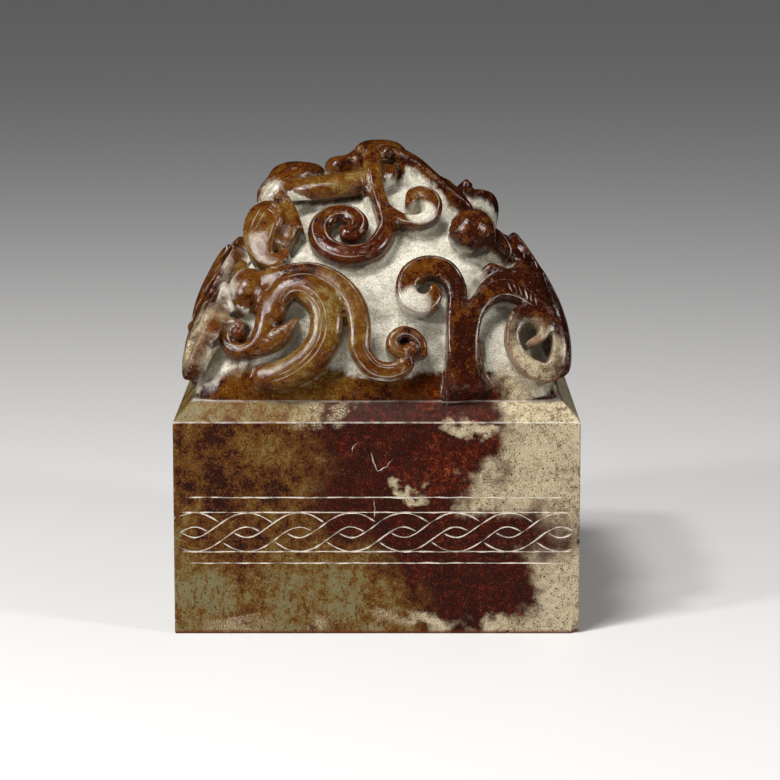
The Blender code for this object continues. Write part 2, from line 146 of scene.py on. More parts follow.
HORN = (
    (-19.2, 79.6, 1.5, 6.4, -3.0), (-18.3, 80.6, 1.7, 5.6, -3.0), (-17.1, 79.8, 1.6, 4.9, -3.0),
    (-15.9, 78.1, 1.5, 4.6, -3.0), (-14.9, 76.3, 1.2, 3.6, -3.0),
)
BROW = (
    (-19.9, 78.6, 1.0, 6.4, 2.0), (-18.7, 77.6, 1.3, 6.6, 2.0), (-18.4, 76.3, 1.3, 6.4, 2.0),
    (-18.9, 75.0, 0.9, 5.8, 2.0),
)
NAPE = (
    (-21.6, 78.0, 6.4, 5.6, -3.0), (-19.4, 75.6, 6.8, 6.0, -3.0), (-17.8, 72.4, 6.6, 6.0, -3.0),
    (-17.6, 69.0, 6.0, 5.4, -3.0), (-18.6, 66.0, 5.0, 4.6, -3.0),
)
NECK = (
    (-26.8, 71.0, 2.2, 1.8, -4.0), (-26.6, 69.0, 3.4, 3.2, -4.0), (-25.8, 67.0, 5.0, 4.6, -4.0),
    (-24.8, 65.0, 6.2, 5.4, -4.0),
)
BODY_BAND = (
    (-23.5, 65.8, 6.0, 5.2, -3.0), (-18.6, 67.4, 4.8, 5.4, -2.0), (-14.6, 68.4, 4.2, 5.3, -2.0),
    (-10.8, 68.2, 4.2, 5.2, -2.0), (-6.9, 66.2, 4.4, 5.2, -2.0), (-4.2, 63.0, 4.6, 5.1, -2.0),
    (-3.3, 59.0, 4.6, 5.0, -2.0), (-3.2, 55.4, 4.3, 4.9, -2.0), (-1.0, 52.4, 4.0, 4.7, -2.0),
    (1.7, 51.5, 3.8, 4.6, -2.0), (4.4, 51.9, 3.6, 4.6, -2.0), (6.2, 53.0, 2.6, 4.6, -2.0),
)
PAW = (
    (5.0, 54.6, 2.8, 4.8, -2.0), (3.3, 55.6, 2.8, 4.8, -2.0), (3.2, 57.2, 2.6, 4.8, -2.0),
    (4.8, 58.3, 2.5, 4.8, -2.0), (6.9, 57.9, 2.4, 4.8, -2.0), (8.5, 56.4, 2.2, 4.7, -2.0),
    (9.0, 54.4, 1.6, 4.4, -2.0),
)
CRESCENT = (
    (-19.6, 61.0, 4.2, 5.6, -2.0), (-19.0, 63.4, 4.6, 6.0, -2.0), (-17.1, 65.3, 5.2, 6.3, -2.0),
    (-14.4, 65.8, 6.0, 6.3, -2.0), (-11.9, 64.7, 6.4, 6.2, -2.0), (-10.1, 62.5, 6.4, 6.0, -2.0),
    (-9.6, 59.7, 6.6, 5.9, -2.0), (-10.2, 56.9, 6.6, 5.7, -2.0), (-12.2, 54.2, 6.4, 5.4, -2.0),
    (-15.3, 52.0, 6.2, 5.0, -2.0), (-18.8, 50.6, 5.8, 4.6, -2.0), (-22.2, 50.2, 4.8, 4.0, -2.0),
)
FORELEG = (
    (-20.6, 63.4, 5.0, 5.6, -3.0), (-21.0, 60.6, 4.8, 5.4, -3.0), (-21.9, 57.6, 4.6, 5.0, -3.0),
    (-23.8, 55.5, 3.6, 4.8, -3.0), (-26.4, 54.6, 3.2, 4.6, -3.0), (-28.7, 55.6, 2.9, 4.4, -3.0),
    (-29.2, 57.8, 2.6, 4.4, -3.0), (-27.9, 59.5, 2.4, 4.4, -3.0), (-26.1, 59.0, 2.0, 4.2, -3.0),
)
HEEL = (
    (-24.4, 54.6, 2.4, 4.4, -3.0), (-21.9, 55.6, 3.4, 4.8, -3.0), (-19.4, 56.9, 3.8, 5.0, -3.0),
    (-17.3, 58.4, 2.8, 5.0, -2.0), (-15.4, 60.3, 0.9, 4.6, -2.0),
)
TAIL_ROOT = (
    (18.6, 45.6, 17.0, 0.9, -3.0), (17.8, 47.2, 11.5, 2.4, -3.0), (17.3, 49.5, 8.6, 3.8, -3.0),
    (17.0, 52.5, 7.6, 4.4, -3.0), (17.0, 56.0, 6.8, 4.6, -3.0),
)
LEFT_STEM = (
    (16.4, 49.0, 3.9, 4.2, -2.0), (15.6, 52.5, 3.9, 4.8, -2.0), (15.3, 57.0, 3.8, 5.1, -2.0),
    (15.3, 62.0, 3.8, 5.2, -1.5),
)
RIGHT_SCROLL = (
    (17.9, 49.0, 4.0, 4.2, -2.0), (17.5, 53.0, 4.0, 4.8, -2.0), (17.6, 57.0, 4.0, 5.0, -2.0),
    (18.4, 61.0, 4.0, 5.2, -1.0), (20.4, 63.6, 4.0, 5.3, -1.0), (23.4, 65.0, 4.0, 5.5, -1.0),
    (26.8, 64.4, 3.7, 5.7, 0.0), (30.0, 62.3, 3.0, 6.0, 1.2), (32.6, 60.0, 2.6, 6.1, 2.2),
    (34.4, 57.0, 2.6, 6.2, 2.7), (34.6, 53.6, 3.0, 6.3, 3.0), (33.2, 50.7, 3.8, 6.3, 3.0),
    (30.6, 50.9, 3.8, 6.3, 3.0), (27.8, 52.6, 3.2, 6.3, 3.0), (26.0, 55.2, 2.7, 6.3, 3.0),
    (25.8, 57.8, 2.8, 6.3, 3.0), (27.3, 60.3, 3.8, 6.3, 3.0), (29.9, 60.4, 3.8, 6.3, 3.0),
    (31.9, 58.5, 3.0, 6.4, 3.0), (31.5, 56.8, 1.9, 6.6, 3.0), (30.0, 55.9, 1.6, 6.7, 3.0),
    (28.6, 55.4, 1.0, 6.5, 3.0),
)
BACK_BAND = (
    (18.6, 61.6, 2.4, 4.2, -2.0), (20.2, 64.8, 2.6, 4.4, -2.0), (22.8, 66.8, 2.8, 4.6, -2.0),
    (26.0, 66.9, 2.8, 4.8, -1.0), (29.2, 65.0, 2.8, 4.8, 0.8), (32.2, 61.8, 2.8, 4.8, 1.2),
    (34.6, 58.0, 2.8, 4.6, 1.2), (36.0, 54.0, 2.6, 4.2, 1.2), (36.2, 51.0, 2.2, 3.8, 1.2),
)
TOP_TAIL = (
    (-0.8, 87.4, 3.6, 5.4, -2.0), (-0.7, 86.0, 3.4, 5.2, -2.0), (-0.2, 83.4, 3.3, 4.8, -2.0),
    (0.7, 81.0, 3.3, 4.4, -2.0), (1.7, 78.9, 3.7, 4.2, -2.0),
)
TOP_FORK = (
    (0.9, 80.4, 2.8, 3.9, -2.0), (3.2, 78.8, 2.8, 4.0, -2.0), (5.7, 77.7, 2.9, 4.1, -2.0),
    (8.3, 77.6, 3.1, 4.3, -2.0), (10.4, 78.4, 3.3, 4.5, -2.0), (11.0, 79.9, 3.7, 4.7, -2.0),
    (10.2, 81.3, 4.0, 4.8, -2.0), (8.6, 82.0, 3.8, 4.7, -2.0), (7.1, 81.8, 3.2, 4.5, -2.0),
    (6.4, 80.7, 2.0, 4.2, -2.0),
)

# The skin left standing round the knob's foot, with a pocket on either side of the tail
APRON = (
    (-32.0, 46.8, 2.8, 0.4, -3.0), (-27.0, 48.0, 5.2, 0.6, -3.0), (-15.0, 48.5, 5.8, 0.7, -3.0),
    (-4.0, 48.2, 5.4, 0.6, -3.0), (5.0, 48.4, 5.4, 0.6, -3.0), (9.4, 47.8, 4.2, 0.6, -3.0),
    (12.4, 47.2, 3.6, 0.6, -3.0), (15.6, 48.6, 6.0, 0.8, -3.0), (19.4, 48.4, 5.6, 0.8, -3.0),
    (21.6, 47.4, 3.8, 0.6, -3.0), (24.4, 47.6, 4.2, 0.6, -3.0), (28.0, 46.8, 2.6, 0.4, -3.0),
)

# Limbs on the top: x, y and z of the crest, width, and foot below the crest
TOP_BODY = (
    (-0.2, -6.0, 91.6, 7.5, 14.0), (-0.2, -2.0, 93.8, 9.0, 14.0), (0.6, 3.0, 94.2, 11.0, 14.0),
    (1.4, 8.5, 91.8, 10.5, 14.0), (0.6, 13.5, 88.0, 8.5, 14.0), (-0.4, 17.0, 85.0, 7.0, 14.0),
)
TOP_HEAD = (
    (-0.2, 16.6, 87.6, 6.4, 14.0), (0.2, 19.4, 86.6, 9.4, 14.0), (0.6, 22.8, 83.4, 8.6, 14.0),
    (0.8, 25.6, 79.8, 6.4, 14.0),
)
TOP_FORELEG = (
    (4.0, 9.0, 90.6, 5.5, 12.0), (8.5, 11.0, 88.2, 5.5, 12.0), (11.5, 14.5, 85.2, 4.6, 14.0),
    (11.0, 18.6, 82.8, 3.8, 14.0), (8.6, 20.4, 82.2, 3.0, 14.0),
)
TOP_LEFT_LEG = (
    (1.0, -8.0, 90.2, 8.0, 14.0), (-4.0, -9.4, 89.2, 9.0, 14.0), (-9.0, -10.0, 88.4, 9.0, 14.0),
    (-14.0, -9.4, 87.8, 8.6, 14.0), (-17.0, -8.0, 87.4, 7.6, 14.0),
)
TOP_LEFT_HAUNCH = (
    (-14.0, 2.0, 89.6, 8.0, 14.0), (-17.5, 0.5, 89.8, 9.0, 14.0), (-19.8, -2.0, 88.4, 8.0, 14.0),
    (-22.2, -4.0, 86.0, 6.5, 14.0),
)
TOP_LEFT_HIP = (
    (1.0, 0.0, 94.2, 6.0, 12.0), (-3.0, -1.0, 93.4, 6.0, 12.0), (-6.0, -1.6, 91.6, 6.0, 12.0),
    (-8.4, -2.0, 91.2, 6.0, 12.0),
)
TOP_RIGHT_LEG = (
    (2.0, -4.0, 93.6, 5.0, 14.0), (5.2, -5.2, 92.8, 4.8, 14.0), (8.6, -6.2, 91.0, 4.8, 14.0),
    (12.0, -6.8, 88.2, 4.8, 14.0), (15.4, -7.0, 85.4, 4.8, 14.0), (18.6, -7.0, 82.6, 4.6, 14.0),
)
TOP_TAIL_ROOT = (
    (-0.9, -8.0, 93.4, 3.6, 8.0), (-0.9, -10.6, 92.4, 4.0, 8.0), (-0.9, -13.0, 90.2, 3.8, 8.0),
    (-0.8, -15.0, 87.6, 3.6, 8.0),
)
TOP_RIGHT_HAUNCH = (
    (12.0, 4.0, 87.0, 7.0, 12.0), (15.0, 5.4, 85.4, 7.0, 12.0), (17.4, 5.6, 83.4, 5.4, 12.0),
)

# The left leg is a beam that stands free of the wall under it; the rump ends in beads
BEAM_DEPTH = 4.6
BEAM_SETBACK = 1.6
RUMP_BEADS = ((-3.4, -8.0, 92.9, 1.3), (2.0, -8.4, 92.6, 1.3))

# A carved section: points round its arch, how square a flat top is, its crown's share of its
# height at most, and then how rounded each kind is, as a share of its width
ARCH_POINTS = 17
FLAT_POWER = 3.5
CROWN_OF_HEIGHT = 0.6
ROUND = 0.45
SOFT = 0.36
FLAT = 0.22
SLAB = 0.16

# Steps between two rows of a strand, points round the ground and the gap between its levels
STEPS = 6
GROUND_SIDES = 96
GROUND_STEP = 1.0
GROUND_SINK = 1.5

# The rings of a strand's round end
CAP_SHARES = (0.45, 0.75, 0.93, 1.0)
CAP_REACH = 0.8
CAP_LEAST = 0.02

# How many crests a point looks for, how deep in mm a groove is full of dust, how often the
# worn edges are spread, and the angle in degrees from which an edge stays sharp
CRESTS_NEAR = 8
GROOVE_FULL = 0.07
EDGE_PASSES = 3
SHARP_ANGLE = 38.0

# Soft spots of the stone on the block: their middles and radii, in millimetres
GLOW_SPOTS = (((12.0, -40.0, 33.5), (7.0, 8.0, 5.0)),)
DARK_SPOTS = (
    ((30.0, -34.0, 19.5), (10.0, 14.0, 6.0)),
    ((27.5, -38.0, 10.0), (4.5, 6.0, 7.0)),
)
PALE_SPOTS = (
    ((6.2, -40.0, 29.5), (2.0, 5.0, 1.5)),
    ((21.6, -40.0, 28.5), (4.4, 5.0, 3.8)),
    ((11.0, -40.0, 1.4), (6.0, 8.0, 2.0)),
    ((24.5, -40.0, 1.6), (4.0, 8.0, 2.6)),
    ((19.5, -40.0, 41.6), (4.5, 6.0, 1.8)),
)
CRUST_SPOTS = (
    ((-28.0, -38.0, 1.2), (7.0, 8.0, 1.8)),
    ((-11.5, -38.0, 1.2), (3.4, 8.0, 1.6)),
    ((3.0, -38.0, 2.4), (3.4, 8.0, 1.8)),
    ((-14.0, -38.0, 44.5), (3.4, 4.0, 1.4)),
    ((-6.0, -38.0, 45.0), (2.4, 4.0, 1.2)),
)

# Spots on the knob: darker patches of its ground, olive and warm crests, where no skin is left, and the
# pale insides of two scrolls, which are partly pale stone and partly a painted highlight
DARK_GROUND_SPOTS = (
    ((11.0, -38.0, 55.5), (4.0, 8.0, 5.0)),
    ((22.0, -30.0, 70.5), (5.0, 8.0, 3.0)),
    ((-2.0, -34.0, 66.0), (3.0, 8.0, 4.0)),
    ((-14.0, -38.0, 57.0), (3.0, 8.0, 3.0)),
)
OLIVE_SPOTS = (
    ((-10.0, -36.0, 60.0), (10.0, 20.0, 12.0)),
    ((-22.0, -20.0, 75.0), (6.0, 12.0, 7.0)),
    ((-10.0, -13.0, 89.0), (10.0, 6.0, 4.0)),
)
WARM_SPOTS = (((-4.0, -22.0, 76.0), (10.0, 14.0, 6.0)),)
BEAM_SPOTS = (((-9.0, -14.0, 86.6), (9.5, 4.0, 3.4)),)
FOOT_SPOTS = (((1.0, -37.0, 49.6), (9.5, 8.0, 3.0)),)
WORN_SPOTS = (
    ((-31.0, -25.0, 70.0), (2.4, 8.0, 5.0)),
    ((-21.8, -6.5, 84.5), (3.2, 4.5, 3.4)),
)
# The insides of the left curl and the top scroll: partly pale stone, partly a painted highlight
SCROLL_PALE_HIGHLIGHT_SPOTS = (
    ((7.2, -32.0, 65.0), (3.6, 8.0, 3.4)),
    ((8.8, -22.0, 81.8), (3.0, 8.0, 2.2)),
)
BARE_SPOTS = (
    ((29.5, -38.0, 56.0), (5.5, 8.0, 7.0)),
    ((-35.0, -30.5, 56.5), (7.0, 5.5, 7.0)),
    ((31.0, -36.0, 48.0), (6.0, 8.0, 2.6)),
)
DISC_SPOTS = (((30.0, -38.0, 55.5), (7.5, 9.0, 7.5)),)

# The colours that a mottled value runs through
SKIN_LAYERS = ((0.38, "dark"), (0.43, "rust"), (0.47, "brown"), (0.53, "olive"), (0.62, "green"))
CREST_LAYERS = ((0.36, "dark"), (0.43, "rust"), (0.49, "brown"), (0.55, "olive"), (0.66, "green"))
RED_LAYERS = ((0.42, "dark"), (0.52, "red"), (0.60, "ember"), (0.70, "orange"))
PALE_LAYERS = ((0.36, "stain"), (0.45, "pale"), (0.56, "bone"))
GROUND_LAYERS = ((0.34, "stain"), (0.44, "ash"), (0.55, "chalk"))

# How far noise shifts the zones, in mm, and what stays fixed of the polish, in metres
ZONE_SHIFT = 18.0
GLOW_DEPTH = 0.0012
GLOW_RADIUS = (1.0, 0.5, 0.25)
BUMP_HEIGHT = 0.00006

# The stage, in metres: the floor's radius, and each light's place and size
FLOOR_RADIUS = 6.0
LIGHT_TARGET = (0.0, 0.0, 0.055)
LIGHTS = {
    "key": ((-0.50, -0.42, 0.36), 0.09),
    "side": ((0.55, -0.35, 0.34), 0.09),
    "front": ((-0.16, -0.28, 0.74), 0.16),
    "spark": ((-0.28, -0.34, 0.62), 0.07),
}
SKY_COLOUR = (0.97, 0.98, 1.0, 1.0)
CAMERA_AIM = (0.0026, -BLOCK_HALF * MILLIMETRE, 0.0489)


def ground_radius(height):
    """Half the ground's width across its faces, at a height."""
    share = min(max((height - KNOB_FOOT) / (GROUND_TOP - KNOB_FOOT), 0.0), 1.0)
    return KNOB_HALF * (1.0 - share ** GROUND_CURVE) ** (1.0 / GROUND_CURVE)


def ground_ring(height):
    """One level of the ground, nearly square at the foot and nearly round on top."""
    share = min(max((height - KNOB_FOOT) / (GROUND_TOP - KNOB_FOOT), 0.0), 1.0)
    power = ROUND_POWER + (SQUARE_POWER - ROUND_POWER) * (1.0 - share) ** POWER_FADE
    ring = []
    for index in range(GROUND_SIDES):
        angle = 2.0 * math.pi * index / GROUND_SIDES
        east, north = math.cos(angle), math.sin(angle)
        reach = ground_radius(height) / (abs(east) ** power + abs(north) ** power) ** (1.0 / power)
        ring.append(Vector((reach * east, reach * north, height)))
    return ring


def sheet_point(across, height):
    """The point of the front face's sheet, on which its dragon lies."""
    radius = ground_radius(height)
    bow = SHEET_BOW / max(radius, SHEET_LEAST_RADIUS)
    return Vector((across, -(radius - bow * across * across), height))


def sheet_normal(across, height):
    """The direction in which a form stands out from the sheet."""
    along = sheet_point(across + SHEET_STEP, height) - sheet_point(across - SHEET_STEP, height)
    upward = sheet_point(across, height + SHEET_STEP) - sheet_point(across, height - SHEET_STEP)
    return along.cross(upward).normalized()


def catmull_rom(rows, steps):
    """Rows of numbers, smoothed into steps rows a span."""
    smooth = []
    last = len(rows) - 1
    for index in range(last):
        before = rows[max(index - 1, 0)]
        start = rows[index]
        end = rows[index + 1]
        after = rows[min(index + 2, last)]
        for step in range(steps):
            share = step / steps
            smooth.append(tuple(
                0.5 * (2 * b + (c - a) * share
                       + (2 * a - 5 * b + 4 * c - d) * share ** 2
                       + (3 * b - a - 3 * c + d) * share ** 3)
                for a, b, c, d in zip(before, start, end, after)))
    smooth.append(tuple(rows[last]))
    return smooth


def scroll(centre, turn, radii, widths, top, foot, flatten):
    """Rows of a scroll whose radius and width follow values a quarter turn apart."""
    rows = []
    for index, (radius, width) in enumerate(catmull_rom(list(zip(radii, widths)), 2)):
        angle = turn * math.pi / 4 * index
        across = centre[0] + radius * math.cos(angle)
        height = centre[1] + radius * math.sin(angle) * flatten
        rows.append((across, height, width, top, foot))
    return rows


def left_scroll():
    """The tail's left branch: its stem and the scroll that it ends in."""
    radii = (5.7, 4.3, 4.1, 3.1, 1.2)
    widths = (3.9, 5.0, 4.0, 4.1, 1.8)
    curl = scroll((9.6, 65.6), 1.0, radii, widths, 5.3, 1.6, 0.85)
    return LEFT_STEM + tuple(curl)


def shorn_scroll():
    """The tail's right branch on the shorn side, worn to a thin ridge before its disc."""
    first, last, share = 4, 9, 0.5
    rows = [(*row[:2], row[2] * share, row[3] - 0.8, row[4]) for row in RIGHT_SCROLL[first:last]]
    return RIGHT_SCROLL[:first] + tuple(rows) + RIGHT_SCROLL[last:]


def top_tail():
    """The top dragon's tail: down the front, and into a scroll on the left."""
    radii = (7.9, 6.4, 5.3, 3.9, 2.2, 1.1)
    widths = (4.1, 4.6, 4.6, 4.3, 4.2, 3.4)
    curl = scroll((-6.0, 76.5), -1.0, radii, widths, 4.3, -1.5, 0.68)
    return TOP_TAIL + tuple(curl)


def arch_section(width, top, foot, rounding):
    """Offsets across and up of a section with upright walls; its rounded crown is a share of its width."""
    half = width / 2.0
    power = 2.0 + (FLAT_POWER - 2.0) * (0.5 - rounding) / (0.5 - FLAT)
    crown = min(rounding * width, CROWN_OF_HEIGHT * (top - foot))
    section = []
    for index in range(ARCH_POINTS):
        angle = math.pi * index / (ARCH_POINTS - 1)
        east, north = math.cos(angle), math.sin(angle)
        offset = half * math.copysign(abs(east) ** (2.0 / power), east)
        section.append((offset, top - crown + crown * abs(north) ** (2.0 / power)))
    section.append((-half, foot))
    section.append((half, foot))
    return section


def meshed(name, shape):
    """The mesh of a shape, which is then freed."""
    mesh = bpy.data.meshes.new(name)
    shape.to_mesh(mesh)
    shape.free()
    return mesh


def round_edges(shape, offset):
    """Round every edge of a shape."""
    bmesh.ops.bevel(shape, geom=list(shape.edges), offset=offset, offset_type="OFFSET",
                    segments=2, profile=0.5, affect="EDGES", material=-1)


def tube(rings):
    """A closed mesh through rings of as many points each, wrapped from a grid."""
    around = len(rings[0])
    along = len(rings) - 1
    shape = bmesh.new()
    bmesh.ops.create_grid(shape, x_segments=around, y_segments=along, size=1.0)
    for vertex in shape.verts:
        place = round((vertex.co.x + 1.0) / 2.0 * around) % around
        level = round((vertex.co.y + 1.0) / 2.0 * along)
        vertex.co = rings[level][place]
    bmesh.ops.remove_doubles(shape, verts=shape.verts, dist=1e-5)
    bmesh.ops.holes_fill(shape, edges=[edge for edge in shape.edges if edge.is_boundary], sides=0)
    bmesh.ops.recalc_face_normals(shape, faces=shape.faces)
    return meshed("form", shape)


def round_off(rings, start=True):
    """Draw a strand in to a round end, and to a round start where it has one."""
    for first in (True, False) if start else (False,):
        last, before = (rings[0], rings[1]) if first else (rings[-1], rings[-2])
        middle = sum(last, Vector()) / len(last)
        away = (middle - sum(before, Vector()) / len(before)).normalized()
        reach = (last[0] - last[ARCH_POINTS - 1]).length / 2.0
        caps = []
        for share in CAP_SHARES:
            shrink = math.sqrt(max(1.0 - share * share, CAP_LEAST))
            out = away * reach * share * CAP_REACH
            caps.append([middle + (point - middle) * Vector((shrink,) * 3) + out for point in last])
        if first:
            rings[0:0] = caps[::-1]
        else:
            rings.extend(caps)
    return rings


def strand_frames(rows):
    """Centre, side, up and row at each smoothed step of a strand on the front sheet."""
    rows = catmull_rom(rows, STEPS)
    frames = []
    for index, row in enumerate(rows):
        near = rows[max(index - 1, 0)]
        far = rows[min(index + 1, len(rows) - 1)]
        tangent = sheet_point(far[0], far[1]) - sheet_point(near[0], near[1])
        up = sheet_normal(row[0], row[1])
        frames.append((sheet_point(row[0], row[1]), tangent.cross(up).normalized(), up, row))
    return frames


def strand(rows, rounding=SOFT, start=True):
    """A carved strand on the front sheet, and the points along its crest with its half width."""
    rings, crest = [], []
    for centre, side, up, (_, _, width, top, foot) in strand_frames(rows):
        section = arch_section(width, top, foot, rounding)
        rings.append([centre + side * offset + up * lift for offset, lift in section])
        crest.append((centre + up * top, width / 2.0))
    return tube(round_off(rings, start)), crest


def limb(rows, rounding=SOFT):
    """A limb over the top of the knob, and the points along its crest with its half width."""
    rows = catmull_rom(rows, STEPS)
    rings, crest = [], []
    for index, (x, y, z, width, depth) in enumerate(rows):
        near = Vector(rows[max(index - 1, 0)][:3])
        far = Vector(rows[min(index + 1, len(rows) - 1)][:3])
        side = (far - near).cross(Vector((0.0, 0.0, 1.0))).normalized()
        section = arch_section(width, 0.0, -depth, rounding)
        rings.append([Vector((x, y, z + lift)) + side * offset for offset, lift in section])
        crest.append((Vector((x, y, z)), width / 2.0))
    return tube(round_off(rings)), crest


def lump(across, height, lift, radii, turn=0.0, power=2.0):
    """A rounded lump on the front sheet, from half its width, length and thickness, and its crest."""
    up = sheet_normal(across, height)
    side = Vector((1.0, 0.0, 0.0)).cross(up).cross(up).normalized() * -1.0
    rise = up.cross(side).normalized()
    lean = math.radians(turn)
    along = side * math.cos(lean) + rise * math.sin(lean)
    athwart = rise * math.cos(lean) - side * math.sin(lean)
    middle = sheet_point(across, height) + up * lift
    shape = bmesh.new()
    bmesh.ops.create_uvsphere(shape, u_segments=28, v_segments=18, radius=1.0)
    for vertex in shape.verts:
        shares = [math.copysign(abs(value) ** (2.0 / power), value) for value in vertex.co]
        vertex.co = (middle + along * shares[0] * radii[0] + athwart * shares[1] * radii[1]
                     + up * shares[2] * radii[2])
    bmesh.ops.recalc_face_normals(shape, faces=shape.faces)
    return meshed("lump", shape), [(middle + up * radii[2] * 0.4, (radii[0] + radii[1]) / 2.0)]


def bead(x, y, z, size):
    """A round knob on the top, and its crest."""
    shape = bmesh.new()
    bmesh.ops.create_uvsphere(shape, u_segments=20, v_segments=14, radius=size)
    bmesh.ops.translate(shape, verts=shape.verts, vec=(x, y, z))
    return meshed("bead", shape), [(Vector((x, y, z)), size)]


def dragon_head(quarter):
    """A side dragon's head: its face with the curled lip, ear, horn and brow."""
    if quarter == BALL_QUARTER:
        return [lump(-22.3, 78.0, 2.6, (4.8, 4.7, 4.8), -20.0, 2.1), strand(NAPE, ROUND)]
    return [
        strand(FACE, SLAB),
        lump(-19.7, 73.9, 1.2, (2.2, 2.8, 3.6)),
        strand(EAR, FLAT),
        strand(HORN, ROUND),
        strand(BROW, ROUND),
        lump(-18.5, 80.7, 5.0, (0.8, 0.8, 1.0)),
    ]


def dragon_body(quarter):
    """The body, legs and forked tail of a side dragon."""
    forms = [
        strand(NECK, ROUND),
        lump(-25.0, 65.2, 1.0, (4.2, 5.4, 5.6), 0.0, 2.2),
        strand(BODY_BAND),
        strand(PAW, ROUND),
        lump(6.4, 55.1, 2.0, (1.9, 1.9, 3.2)),
        strand(CRESCENT),
        strand(FORELEG, ROUND),
        lump(-27.0, 57.9, 1.6, (1.8, 1.8, 3.2)),
        strand(HEEL),
        strand(TAIL_ROOT, FLAT, start=False),
        strand(left_scroll(), FLAT),
        strand(APRON, FLAT),
    ]
    if quarter == SHORN_QUARTER:
        forms.append(strand(shorn_scroll(), FLAT))
    else:
        forms += [strand(RIGHT_SCROLL, FLAT), strand(BACK_BAND, FLAT)]
    return forms


def top_dragon():
    """The dragon that lies over the top, its tail down the front."""
    forms = [strand(top_tail(), ROUND), strand(TOP_FORK)]
    for rows in (TOP_BODY, TOP_HEAD, TOP_LEFT_HAUNCH, TOP_LEFT_HIP, TOP_RIGHT_LEG, TOP_RIGHT_HAUNCH):
        forms.append(limb(rows, FLAT if rows is TOP_RIGHT_LEG else SOFT))
    forms.append(limb(TOP_TAIL_ROOT, ROUND))
    forms.append(limb([(*row[:4], BEAM_DEPTH) for row in TOP_LEFT_LEG], ROUND))
    forms.append(limb([(x, y + BEAM_SETBACK, z - 1.0, width - BEAM_SETBACK, depth)
                       for x, y, z, width, depth in TOP_LEFT_LEG]))
    for side in (-1, 1):
        forms.append(limb([(side * row[0], *row[1:]) for row in TOP_FORELEG]))
    forms += [bead(*place) for place in RUMP_BEADS]
    return forms


def knob_ground():
    """The smooth ground, sunk a little into the block."""
    levels = [KNOB_FOOT - GROUND_SINK]
    while levels[-1] < GROUND_TOP - GROUND_STEP:
        levels.append(max(levels[-1] + GROUND_STEP, KNOB_FOOT))
    rings = [ground_ring(height) for height in levels]
    rings[0] = [Vector((point.x, point.y, levels[0])) for point in ground_ring(KNOB_FOOT)]
    return tube(rings)


def turn_quarter(quarter):
    """A turn about the upright axis by quarters."""
    return Matrix.Rotation(quarter * math.pi / 2, 4, "Z")


def head_place(quarter):
    """Where a side dragon's head goes."""
    turn, drop = HEAD_PLACES[quarter]
    aside = Matrix.Rotation(math.radians(turn), 4, "Z")
    return Matrix.Translation((0.0, 0.0, -drop)) @ turn_quarter(quarter) @ aside


def linked(name, mesh):
    """An object with the mesh, in the scene."""
    item = bpy.data.objects.new(name, mesh)
    bpy.context.scene.collection.objects.link(item)
    return item


def settled(item):
    """The object with its modifiers applied."""
    depsgraph = bpy.context.evaluated_depsgraph_get()
    mesh = bpy.data.meshes.new_from_object(item.evaluated_get(depsgraph))
    item.modifiers.clear()
    item.data = mesh
    return item


def joined(name, meshes):
    """One object from meshes and the turns that place them."""
    shape = bmesh.new()
    for mesh, place in meshes:
        copy = mesh.copy()
        copy.transform(place)
        shape.from_mesh(copy)
        bpy.data.meshes.remove(copy)
    return linked(name, meshed(name, shape))


def combined(item, other, operation):
    """The item united with the other, or cut by it, which is then removed."""
    modifier = item.modifiers.new(operation, "BOOLEAN")
    modifier.operation = operation
    modifier.solver = "MANIFOLD"
    modifier.object = other
    settled(item)
    bpy.data.objects.remove(other)
    return item


def carved_knob(sizes):
    """The knob with every form on it, as one evenly meshed skin, and the points of its crests."""
    still = Matrix.Identity(4)
    placed = [(form, still) for form in top_dragon()]
    for quarter in QUARTERS:
        placed += [(form, head_place(quarter)) for form in dragon_head(quarter)]
        placed += [(form, turn_quarter(quarter)) for form in dragon_body(quarter)]
    meshes = [(knob_ground(), still)]
    crests = []
    for (mesh, crest), place in placed:
        meshes.append((mesh, place))
        crests += [(place @ point, reach) for point, reach in crest]
    knob = joined("knob", meshes)
    remesh = knob.modifiers.new("Skin", "REMESH")
    remesh.mode = "VOXEL"
    remesh.voxel_size = sizes.skin_grain
    smooth = knob.modifiers.new("Wear", "SMOOTH")
    smooth.factor = 0.5
    smooth.iterations = sizes.wear_passes
    settled(knob)
    decimate = knob.modifiers.new("Fewer", "DECIMATE")
    decimate.ratio = min(sizes.knob_triangles / (2.0 * len(knob.data.polygons)), 1.0)
    return settled(knob), crests


def plain_block(sizes):
    """The block with its chamfer, its edges a little worn."""
    shape = bmesh.new()
    bmesh.ops.create_cube(shape, size=1.0)
    bmesh.ops.scale(shape, verts=shape.verts, vec=(2 * BLOCK_HALF, 2 * BLOCK_HALF, BLOCK_WALL))
    bmesh.ops.translate(shape, verts=shape.verts, vec=(0.0, 0.0, BLOCK_WALL / 2))
    top = [face for face in shape.faces if face.normal.z > 0.9]
    raised = bmesh.ops.extrude_face_region(shape, geom=top)
    bmesh.ops.delete(shape, geom=top, context="FACES")
    verts = [item for item in raised["geom"] if isinstance(item, bmesh.types.BMVert)]
    bmesh.ops.translate(shape, verts=verts, vec=(0.0, 0.0, KNOB_FOOT - BLOCK_WALL))
    share = (BLOCK_HALF - CHAMFER_INSET) / BLOCK_HALF
    bmesh.ops.scale(shape, verts=verts, vec=(share, share, 1.0))
    round_edges(shape, sizes.edge_round)
    bmesh.ops.recalc_face_normals(shape, faces=shape.faces)
    return linked("block", meshed("block", shape))


